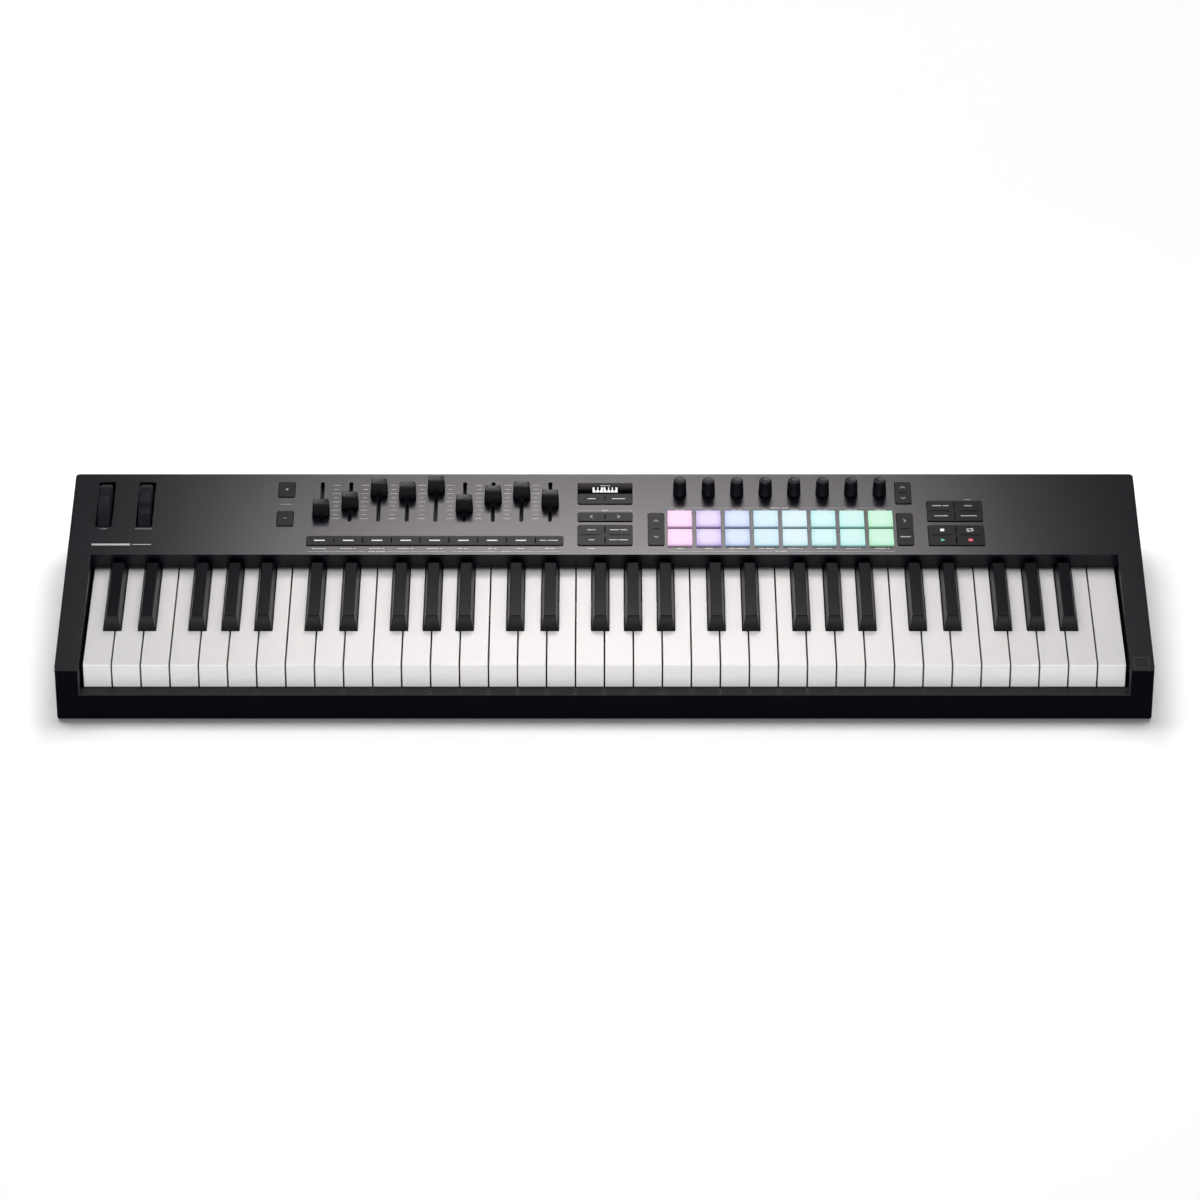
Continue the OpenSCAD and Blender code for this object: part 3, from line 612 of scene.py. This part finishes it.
for name in NODES:
    paint(NODES[name], MATERIALS[SLOT_OF[name]])
for name in WHITE_KEYS:
    soften(name, 0.4 * MM, 3, 30)
for name in BLACK_KEYS:
    soften(name, 0.5 * MM, 3)
for name in BUTTONS:
    soften(name, 0.22 * MM, 2)
for name in PAD_ROWS:
    soften(name, 0.45 * MM, 3)
for name in ["top_case", "bottom_case"]:
    soften(name, 0.45 * MM, 2)
for name in ["feet", "rear_sockets", "case_screws", "display_window"]:
    soften(name, 0.12 * MM, 2)


# ---------- fader caps ----------

def level(node, height):
    """Plan box of the points of a node that stand at one height over the panel."""
    feet = [
        v.co - PANEL_UP * height
        for v in NODES[node].data.vertices
        if abs(height_over_panel(v.co) - height) < 0.05 * MM
    ]
    xs, ys = [p.x for p in feet], [p.y for p in feet]
    return min(xs), max(xs), min(ys), max(ys)


def fader_piece(node):
    """A drafted cap with soft corners and a saddle top, on its thin blade."""
    heights = [height_over_panel(v.co) for v in NODES[node].data.vertices]
    top, foot = max(heights), min(heights)
    low = CAP_FOOT
    x0, x1, y0, y1 = level(node, low)
    a0, a1, b0, b1 = level(node, top)
    mid_x, mid_y = (x0 + x1) / 2, (y0 + y1) / 2
    dish, corner = 0.5 * MM, 0.9 * MM
    blade_x, blade_y = 0.6 * MM, 2 * MM

    def cap_ring(share, inset, saddle):
        hx = ((x1 - x0) * (1 - share) + (a1 - a0) * share) / 2 - inset
        hy = ((y1 - y0) * (1 - share) + (b1 - b0) * share) / 2 - inset
        height = low + (top - low) * share
        points = []
        for px, py in rounded_rectangle(hx, hy, min(corner, hy), 5):
            sag = saddle * dish * max(0, 1 - (2 * px / (a1 - a0)) ** 2)
            points.append(panel_point(mid_x + px, mid_y + py, height - sag))
        return points

    bm = bmesh.new()
    loft(bm, [
        cap_ring(*values)
        for values in [
            (0.0, 0.3 * MM, 0), (0.02, 0.08 * MM, 0), (0.05, 0, 0), (0.5, 0, 0.1), (0.8, 0, 0.5),
            (0.96, 0, 0.95), (0.985, 0.08 * MM, 1), (0.997, 0.25 * MM, 1), (1, 0.5 * MM, 1),
            (1, 1.2 * MM, 1), (1, 1.8 * MM, 1), (1, (b1 - b0) / 2 - 0.1 * MM, 1),
        ]
    ])
    blade = rounded_rectangle(blade_x, blade_y, 0.3 * MM, 3)
    loft(bm, [
        [panel_point(mid_x + px, mid_y + py, h) for px, py in blade]
        for h in (foot, low + 0.6 * MM)
    ])
    add_piece(
        node + "_cap", bm, MATERIALS["fader_plastic"], BODY_OF[node], [node], 30
    )


for name in FADERS:
    fader_piece(name)


# ---------- encoder knobs ----------

def knob_piece(node):
    """A slightly tapered knob with a rounded crown and a thin foot lip, on its shaft."""
    joint = JOINTS[node + "_turn"]
    x, y = joint["pos_m"][0], joint["pos_m"][1]
    heights = [height_over_panel(v.co) for v in NODES[node].data.vertices]
    top, foot = max(heights), min(heights)
    shaft, low, wide, narrow = 3 * MM, 0.5 * MM, 5.8 * MM, 5.15 * MM
    crown = 0.9 * MM
    side = Vector((1, 0, 0))

    def place(px, py, height):
        return panel_point(x, y, height) + side * px + PANEL_SLOPE * py

    profile = [(shaft, foot), (shaft, low), (wide - 0.5 * MM, low)]
    profile += arc(wide - 0.5 * MM, low + 0.5 * MM, 0.5 * MM, -90, 0, 4)[1:]
    profile += [(wide, low + 1.3 * MM), (wide - 0.12 * MM, low + 1.6 * MM)]
    profile += [(narrow + 0.15 * MM, top - 3 * MM)]
    profile += arc(narrow - crown, top - crown, crown, 0, 90, 6)
    profile += [(narrow - crown - 0.5 * MM, top), (narrow - crown - 0.8 * MM, top - 0.12 * MM)]
    profile += [(1.5 * MM, top - 0.2 * MM), (0.3 * MM, top - 0.2 * MM)]
    bm = bmesh.new()
    turn(bm, profile, place)
    add_piece(
        node + "_knob", bm, MATERIALS["knob_plastic"], BODY_OF[node], [node], 40
    )


for name in ENCODERS:
    knob_piece(name)


# ---------- wheels ----------

def wheel_piece(node):
    """A wheel with round shoulders and a finger dip, rolled as it stands at rest."""
    joint = JOINTS[node + "_turn"]
    centre = Vector(joint["pos_m"])
    low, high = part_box(node)
    half = (high[0] - low[0]) / 2
    radius = centre.z - low[2]
    roll = -sum(joint["range_deg"]) / 2
    dip, deep, shoulder = 8.5 * MM, 2.4 * MM, 1.5 * MM
    reach = radius + dip - deep
    hub, rim, web, bore = 8 * MM, 19 * MM, 2 * MM, 2.58 * MM

    def tread(turned):
        """Radius of the tread at an angle from the middle of the dip."""
        side = reach * math.sin(math.radians(turned))
        if abs(side) >= dip or abs(turned) > 90:
            return radius
        near = reach * math.cos(math.radians(turned)) - math.sqrt(dip ** 2 - side ** 2)
        return min(radius, near)

    angles = [-12 + 0.75 * k for k in range(33)] + [12 + 3 * k for k in range(1, 112)]
    bm = bmesh.new()
    rings = []
    for turned in angles:
        r = tread(turned)
        section = [(-half, bore), (-half, hub), (-web, hub), (-web, rim), (-half, rim)]
        section += arc(-half + shoulder, r - shoulder, shoulder, 180, 90, 5)
        section += [(0, r + 0.12 * MM)]
        section += arc(half - shoulder, r - shoulder, shoulder, 90, 0, 5)
        section += [(half, rim), (web, rim), (web, hub), (half, hub), (half, bore)]
        a = math.radians(turned - roll)
        rings.append(ring_of(bm, [
            centre + Vector((x, p * math.sin(a), p * math.cos(a))) for x, p in section
        ]))
    for before, after in zip(rings, rings[1:] + rings[:1]):
        bridge(bm, before, after)
    add_piece(
        node + "_tyre", bm, MATERIALS["wheel_rubber"], BODY_OF[node], [node], 38
    )


for name in ["pitch_wheel", "mod_wheel"]:
    wheel_piece(name)


# ---------- painted shade in the buttons' grooves ---

def shade_grooves(node, bars):
    """Painted shade: dark sheets laid in a button's grooves, where the grooves are only shaded; each bar is x, y,
    w, d as shares of the button's top.
    """
    x0, x1, y0, y1, top = top_face(node)
    w, d = x1 - x0, y1 - y0
    narrow = 0.9 * MM
    sheet = Sheet(top - 0.25 * MM, 0.4 * MM)
    for x, y, bar_w, bar_d in bars:
        size = max(bar_w * w, narrow), max(bar_d * d, narrow)
        sheet.bar(x0 + w * x, y0 + d * y, *size, 0.15 * MM)
    sheet.done(node + "_grooves", GROOVE_SHADE, BODY_OF[node])


def between_faders():
    """Places between the strip's zones, as shares of its width."""
    x0, x1, _, _, _ = top_face("fader_button_strip")
    at = [(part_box(name)[0][0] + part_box(name)[1][0]) / 2 for name in FADERS]
    return [((a + b) / 2 - x0) / (x1 - x0) for a, b in zip(at, at[1:])]


for name in ["display_keys", "track_keys"]:
    shade_grooves(name, [(0.5, 0.5, 0, 0.48)])
for name in ["pad_bank_keys", "encoder_bank_keys", "function_keys"]:
    shade_grooves(name, [(0.5, 0.5, 0.48, 0)])
for name in ["mode_keys", "edit_keys", "transport_keys"]:
    shade_grooves(name, [
        (0.23, 0.5, 0.35, 0), (0.77, 0.5, 0.35, 0), (0.5, 0.245, 0, 0.33), (0.5, 0.755, 0, 0.33),
    ])
shade_grooves("fader_button_strip", [(x, 0.5, 0, 0.58) for x in between_faders()])


# ---------- marks on the buttons ----------

def mark_button(node, name, material, draw):
    sheet = button_sheet(node)
    draw(sheet)
    sheet.done(node + "_" + name, material, BODY_OF[node])


def plus(sheet):
    x, y = zone("octave_up_button", 0, 1)
    arm = 2.6 * MM
    sheet.bar(x, y, arm, SIGN_LINE, 0.1 * MM)
    sheet.bar(x, y, SIGN_LINE, arm, 0.1 * MM)


def minus(sheet):
    sheet.bar(*zone("octave_down_button", 0, 1), 2.4 * MM, SIGN_LINE, 0.1 * MM)


def strip_lamps(sheet):
    for name in FADERS[:-1]:
        low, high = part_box(name)
        x = (low[0] + high[0]) / 2
        sheet.bar(x, zone("fader_button_strip", 0, 1)[1], 8.9 * MM, 1.3 * MM, 0.3 * MM)


def strip_word(sheet):
    sheet.words(*zone("fader_button_strip", 8, 9), [5.6, 8.6])


def track_arrows(sheet):
    sheet.chevron(*zone("track_keys", 0, 2), ARROW, 90)
    sheet.chevron(*zone("track_keys", 1, 2), ARROW, -90)


def up_down(node):
    def draw(sheet):
        sheet.chevron(*zone(node, 0, 1, 0, 2), ARROW, 0)
        sheet.chevron(*zone(node, 0, 1, 1, 2), ARROW, 180)
    return draw


def grid_words(node, columns, rows, words):
    """Bars for the words of a button's zones, listed row by row from the back."""
    def draw(sheet):
        for k, lengths in enumerate(words):
            sheet.words(*zone(node, k % columns, columns, k // columns, rows), lengths)
    return draw


def function_marks(sheet):
    sheet.chevron(*zone("function_keys", 0, 1, 0, 2), ARROW, -90)
    sheet.words(*zone("function_keys", 0, 1, 1, 2), [8.8])


def stop_mark(sheet):
    sheet.bar(*zone("transport_keys", 0, 2, 0, 2), 3.3 * MM, 3.3 * MM, 0.3 * MM)


def loop_mark(sheet):
    x, y = zone("transport_keys", 1, 2, 0, 2)
    w, h, gap = 2.6 * MM, 1.5 * MM, 0.5 * MM
    for side in (1, -1):
        sheet.stroke(
            [
                (x - side * w, y - side * gap),
                (x - side * w, y + side * h * 0.6),
                (x - side * (w - 0.6 * MM), y + side * h),
                (x + side * (w - 1.2 * MM), y + side * h),
            ],
            0.55 * MM,
        )
        tip = x + side * (w + 0.2 * MM)
        sheet.shape([
            (tip, y + side * h),
            (tip - side * 1.7 * MM, y + side * (h + 1.0 * MM)),
            (tip - side * 1.7 * MM, y + side * (h - 1.0 * MM)),
        ])


def play_mark(sheet):
    x, y = zone("transport_keys", 0, 2, 1, 2)
    sheet.shape([
        (x - 1.5 * MM, y - 1.9 * MM), (x + 2.1 * MM, y), (x - 1.5 * MM, y + 1.9 * MM),
    ])


def record_mark(sheet):
    sheet.disc(*zone("transport_keys", 1, 2, 1, 2), 2.0 * MM)


for node, name, material, draw in [
    ("octave_up_button", "mark", PRINT, plus),
    ("octave_down_button", "mark", PRINT, minus),
    ("fader_button_strip", "lamps", WHITE_LIGHT, strip_lamps),
    ("fader_button_strip", "mark", PRINT, strip_word),
    ("display_keys", "mark", PRINT, grid_words("display_keys", 2, 1, [[6.8], [11.4]])),
    ("track_keys", "mark", PRINT, track_arrows),
    ("mode_keys", "mark", PRINT, grid_words("mode_keys", 2, 2, [[7], [7.6, 5.8], [5], [6.6, 8]])),
    ("pad_bank_keys", "mark", PRINT, up_down("pad_bank_keys")),
    ("encoder_bank_keys", "mark", PRINT, up_down("encoder_bank_keys")),
    ("function_keys", "mark", PRINT, function_marks),
    ("edit_keys", "mark", PRINT, grid_words("edit_keys", 2, 2, [[8, 5], [6.4], [11], [13.4]])),
    ("transport_keys", "stop_lamp", WHITE_LIGHT, stop_mark),
    ("transport_keys", "loop_lamp", WHITE_LIGHT, loop_mark),
    ("transport_keys", "play_lamp", GREEN_LIGHT, play_mark),
    ("transport_keys", "record_lamp", RED_LIGHT, record_mark),
]:
    mark_button(node, name, material, draw)


# ---------- marks on the panel ----------

def fader_place(number):
    """X of a fader and the Y of its lowest and highest positions."""
    x0, x1, y0, y1 = level(f"fader_{number}", CAP_FOOT)
    joint = JOINTS[f"fader_{number}_travel"]
    rest = (y0 + y1) / 2
    low, high = [rest + r * PANEL_UP.z for r in joint["range_m"]]
    return (x0 + x1) / 2, low, high


def wheel_labels(sheet):
    ahead = 33.3 * MM
    for node, lengths in [("pitch_wheel", [6.2]), ("mod_wheel", [14.2])]:
        low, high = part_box(node)
        front = JOINTS[node + "_turn"]["pos_m"][1] - ahead
        sheet.words((low[0] + high[0]) / 2, front, lengths)


def fader_scales(sheet):
    short, long, line, steps = 3.8 * MM, 6.2 * MM, 0.6 * MM, 8
    for number in range(1, len(FADERS)):
        x, low, high = fader_place(number)
        after = fader_place(number + 1)[0]
        for k in range(steps + 1):
            width = short if k % 2 else long
            sheet.bar((x + after) / 2, low + (high - low) * k / steps, width, line)


def under_faders(sheet):
    front = top_face("fader_button_strip")[2]
    words = [[11.4], [10, 2], [10, 2], [10, 2], [10, 2], [4.2, 4], [4.2, 2.4], [6.4], [7.4]]
    for number, lengths in enumerate(words, 1):
        sheet.words(fader_place(number)[0], front - 3.9 * MM, lengths)
    half, rule_ahead = 9 * MM, 8 * MM
    for first, last, middle, lengths in [(1, 5, 18, [6, 7.6]), (6, 9, 11, [8])]:
        x0, x1 = fader_place(first)[0] - half, fader_place(last)[0] + half
        sheet.rule(x0, x1, front - rule_ahead, middle * MM)
        sheet.words((x0 + x1) / 2, front - rule_ahead, lengths)


def display_labels(sheet):
    x0, x1, _, y1, _ = top_face("track_keys")
    sheet.rule(x0, x1, y1 + 3.6 * MM, 8.4 * MM)
    sheet.words((x0 + x1) / 2, y1 + 3.6 * MM, [5.8])
    x, _ = zone("mode_keys", 0, 2, 1, 2)
    sheet.words(x, top_face("mode_keys")[2] - 3.8 * MM, [6.4])


def octave_label(sheet):
    up, down = top_face("octave_up_button"), top_face("octave_down_button")
    sheet.words((up[0] + up[1]) / 2, (up[2] + down[3]) / 2 + 0.3 * MM, [9.4])


def pad_labels(sheet):
    first = JOINTS["encoder_1_turn"]["pos_m"][0]
    pitch = JOINTS["encoder_2_turn"]["pos_m"][0] - first
    x0, x1, _, y1, _ = top_face("pads_upper_row")
    y0 = top_face("pads_lower_row")[2]
    half_pad = 10.2 * MM
    over = [[4, 3.4], [5.6], [4.4, 3], [6.2], [7.2], [4, 4.4], [6, 2.6], [6, 2.6]]
    under = [[6.4], [6.6], [5, 8], [4.6, 7], [9.6, 1.8], [9.6, 1.8], [9.6, 1.8], [9.6, 1.8]]
    for k in range(len(ENCODERS)):
        sheet.words(x0 + half_pad + pitch * k, y1 + 3.0 * MM, over[k], 1.0 * MM)
        sheet.words(x0 + half_pad + pitch * k, y0 - 2.9 * MM, under[k], 1.0 * MM)
    for y, lengths in [(y1 + 5.6 * MM, [8.4, 6]), (y0 - 6.8 * MM, [4, 6])]:
        sheet.rule(x0, x1, y, (sum(lengths) + 3) * MM)
        sheet.words((x0 + x1) / 2, y, lengths)


def undo_label(sheet):
    x, _ = zone("edit_keys", 1, 2, 0, 2)
    sheet.words(x, top_face("edit_keys")[3] + 2.6 * MM, [6.4], 1.0 * MM)


def plain_stripes(sheet):
    """Two plain stripes in the place of a name."""
    x0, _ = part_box("pitch_wheel")
    y = top_face("fader_button_strip")[2] + 1.6 * MM
    left = x0[0] - 3 * MM
    sheet.bar(left + 16 * MM, y, 32 * MM, 2.4 * MM, 0.4 * MM)
    sheet.bar(left + 41.5 * MM, y, 16 * MM, 0.8 * MM, 0.3 * MM)


def cheek_mark(sheet):
    """A faint square outline at the front of the right cheek."""
    low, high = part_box("top_case")
    x1, y0 = high[0] - 3.8 * MM, low[1] + 3 * MM
    w, d, line = 12.4 * MM, 13.2 * MM, 0.5 * MM
    for x, y, bar_w, bar_d in [
        (x1 - w / 2, y0, w, line), (x1 - w / 2, y0 + d, w, line),
        (x1 - w, y0 + d / 2, line, d), (x1, y0 + d / 2, line, d),
    ]:
        sheet.bar(x, y, bar_w, bar_d, 0.1 * MM)


for name, material, draws in [
    ("panel_labels", DIM_PRINT, [wheel_labels, octave_label, undo_label]),
    ("panel_scales", FAINT_PRINT, [fader_scales]),
    ("panel_captions", FAINT_PRINT, [under_faders, display_labels, pad_labels]),
    ("panel_stripes", BRIGHT_PRINT, [plain_stripes]),
    ("cheek_outline", MARK, [cheek_mark]),
]:
    sheet = Sheet(0.0, 0.05 * MM)
    for draw in draws:
        draw(sheet)
    sheet.done(name, material, CASE)


# ---------- the screen ----------

def screen_picture(sheet):
    """A small row of piano keys with a word bar over it."""
    x0, x1, y0, _, _ = top_face("display_window")
    mid = (x0 + x1) / 2
    key_w, key_d, line = 3.05 * MM, 7.0 * MM, 0.45 * MM
    low = y0 + 2.2 * MM
    count = 7
    sharps = [1, 1, 0, 1, 1, 1, 0]
    cut = 0.9 * MM
    for k in range(count):
        left = mid + (k - count / 2) * key_w + line / 2
        right = left + key_w - line
        a = cut if k and sharps[k - 1] else 0
        b = cut if sharps[k] and k < count - 1 else 0
        waist = low + key_d * 0.42
        sheet.shape([
            (left, low), (right, low), (right, waist), (right - b, waist + line / 4),
            (right - b, low + key_d), (left + a, low + key_d), (left + a, waist + line / 4),
            (left, waist),
        ])
    sheet.words(mid, low + key_d + 2.3 * MM, [4.6, 2.6], 0.5 * MM, 0.6 * MM)


sheet = Sheet(top_face("display_window")[4])
screen_picture(sheet)
sheet.done("screen_picture", SCREEN_LIGHT, CASE)


# ---------- metal in the rear sockets ----------

def at_back(x, z, y):
    """Maps x, y, height of a turned shape onto an axis that points out of the back."""
    def place(px, py, height):
        return Vector((x + px, y + height, z + py))
    return place


MOUNTS = {m["name"]: m for m in frame["record"]["mounts"]}
BACK_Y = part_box("rear_sockets")[1][1]

for number in (1, 2):
    mount = MOUNTS[f"pedal_socket_{number}"]
    x, _, z = mount["pos_m"]
    bore = mount["dims"]["r_mm"] * MM
    bm = bmesh.new()
    inner, outer, proud, lip = bore + 0.05 * MM, 5.6 * MM, 0.7 * MM, 0.4 * MM
    wall, depth = bore + 0.5 * MM, -6 * MM
    ring = [(inner, depth), (inner, proud - lip)]
    ring += arc(inner + lip, proud - lip, lip, 180, 90, 3)[1:]
    ring += arc(outer - lip, proud - lip, lip, 90, 0, 4)
    ring += [(outer, 0.02 * MM), (wall, 0.02 * MM), (wall, depth)]
    turn(bm, ring, at_back(x, z, BACK_Y), 48, True)
    add_piece(f"pedal_socket_{number}_ring", bm, NICKEL, CASE)

x, _, z = MOUNTS["midi_socket"]["pos_m"]
bore = MOUNTS["midi_socket"]["dims"]["r_mm"] * MM
shell_depth = -8.9 * MM
bm = bmesh.new()
shell = [
    (bore + 0.02 * MM, shell_depth), (bore + 0.02 * MM, 0.35 * MM), (bore + 0.5 * MM, 0.5 * MM),
    (bore + 0.75 * MM, 0.3 * MM), (bore + 0.75 * MM, 0.02 * MM), (bore + 0.3 * MM, 0.02 * MM),
    (bore + 0.3 * MM, shell_depth),
]
turn(bm, shell, at_back(x, z, BACK_Y), 48, True)
add_piece("midi_socket_shell", bm, NICKEL, CASE)
bm = bmesh.new()
pin_circle, floor_depth = 3.75 * MM, 9 * MM
sleeve = [(0.6 * MM, -4 * MM), (0.6 * MM, 0.1 * MM), (0.95 * MM, 0.1 * MM)]
sleeve += [(0.95 * MM, -0.05 * MM), (0.8 * MM, -0.05 * MM), (0.8 * MM, -4 * MM)]
for k in range(5):
    a = math.radians(45 * k)
    px, pz = pin_circle * math.cos(a), pin_circle * math.sin(a)
    turn(bm, sleeve, at_back(x + px, z + pz, BACK_Y - floor_depth), 20, True)
add_piece("midi_socket_contacts", bm, GOLD, CASE)

x, _, z = MOUNTS["usb_socket"]["pos_m"]
front, depth = BACK_Y + 0.05 * MM, BACK_Y - 6.9 * MM
bm = bmesh.new()
outline = rounded_rectangle(4.48 * MM, 1.63 * MM, 1.5 * MM, 6)
inside = rounded_rectangle(4.2 * MM, 1.35 * MM, 1.2 * MM, 6)
loops = [
    ring_of(bm, [(x + px, y, z + pz) for px, pz in points])
    for points, y in [(outline, depth), (outline, front), (inside, front), (inside, depth)]
]
for a, b in zip(loops, loops[1:] + loops[:1]):
    bridge(bm, a, b)
add_piece("usb_socket_shell", bm, NICKEL, CASE)
bm = bmesh.new()
contacts, contact_step = 12, 0.5 * MM
pad = rounded_rectangle(0.14 * MM, 1.9 * MM, 0.05 * MM, 2)
for side in (1, -1):
    for k in range(contacts):
        px = (k - (contacts - 1) / 2) * contact_step
        loft(bm, [
            [(x + px + qx, BACK_Y - 3.1 * MM + qy, z + side * h * MM) for qx, qy in pad]
            for h in (0.3, 0.39)
        ])
add_piece("usb_socket_contacts", bm, GOLD, CASE)


# ---------- stage, light and camera ----------

CAMERA_PLACE = (0, -4.1221, 2.8020)
CAMERA_DOWN = 33.91     # degrees below the horizon
CAMERA_SHIFT = -0.0037
OVERHEAD_X, OVERHEAD_Y = -0.22, 0.86


def area_light(name, place, aim, size, power, tint=(1, 1, 1)):
    data = bpy.data.lights.new(name, "AREA")
    data.shape = "RECTANGLE"
    data.size, data.size_y = size
    data.energy = power
    data.color = tint
    obj = bpy.data.objects.new(name, data)
    obj.location = place
    obj.rotation_euler = (Vector(aim) - Vector(place)).to_track_quat("-Z", "Y").to_euler()
    obj.visible_camera = False
    bpy.context.scene.collection.objects.link(obj)
    return obj


def make_floor():
    """A wide pale sheet that the object stands on."""
    n = Nodes("floor_paper")
    n.link(
        n.ramp(n.noise(2, 2), [(0.3, (0.955, 0.955, 0.955)), (0.7, (0.975, 0.975, 0.975))]),
        n.shader.inputs["Base Color"],
    )
    n.link(n.span(n.noise(30, 2), 0.75, 0.85), n.shader.inputs["Roughness"])
    n.set(Specular_IOR_Level=0.1)
    bm = bmesh.new()
    bmesh.ops.create_grid(bm, x_segments=8, y_segments=8, size=12)
    mesh = bpy.data.meshes.new("floor")
    bm.to_mesh(mesh)
    bm.free()
    floor = bpy.data.objects.new("floor", mesh)
    floor.location.z = -0.2 * MM
    bpy.context.scene.collection.objects.link(floor)
    paint(floor, n.material)


def make_world():
    world = bpy.data.worlds.new("studio")
    world.use_nodes = True
    background = world.node_tree.nodes["Background"]
    background.inputs["Color"].default_value = (0.95, 0.97, 1.0, 1)
    background.inputs["Strength"].default_value = 0.13
    bpy.context.scene.world = world


def make_camera():
    data = bpy.data.cameras.new("camera")
    data.sensor_width = 36
    data.lens = 180
    data.shift_x = CAMERA_SHIFT
    data.clip_end = 60
    camera = bpy.data.objects.new("camera", data)
    camera.location = CAMERA_PLACE
    camera.rotation_euler = (math.radians(90 - CAMERA_DOWN), 0, 0)
    bpy.context.scene.collection.objects.link(camera)
    bpy.context.scene.camera = camera


make_floor()
make_world()
make_camera()
area_light("overhead", (OVERHEAD_X, OVERHEAD_Y, 3.2), (OVERHEAD_X, OVERHEAD_Y, 0), (4.6, 1.9), 124)
area_light("front_fill", (0, -3.3, 0.45), (0, 0, 0.03), (3.0, 0.5), 106)
# two boxes, one in front of the other, give the panel its soft-edged gloss
for name, y, z, width, power in [
    ("softbox_wide", 0.80, 0.972, 0.72, 1.16), ("softbox_narrow", 0.77, 0.935, 0.42, 0.40),
]:
    box = area_light(name, (0, y, z), (0, 0.07, 0.06), (width, 0.35), power, (1, 0.94, 0.955))
    box.data.spread = math.radians(62)
bpy.context.scene.view_settings.view_transform = "Standard"
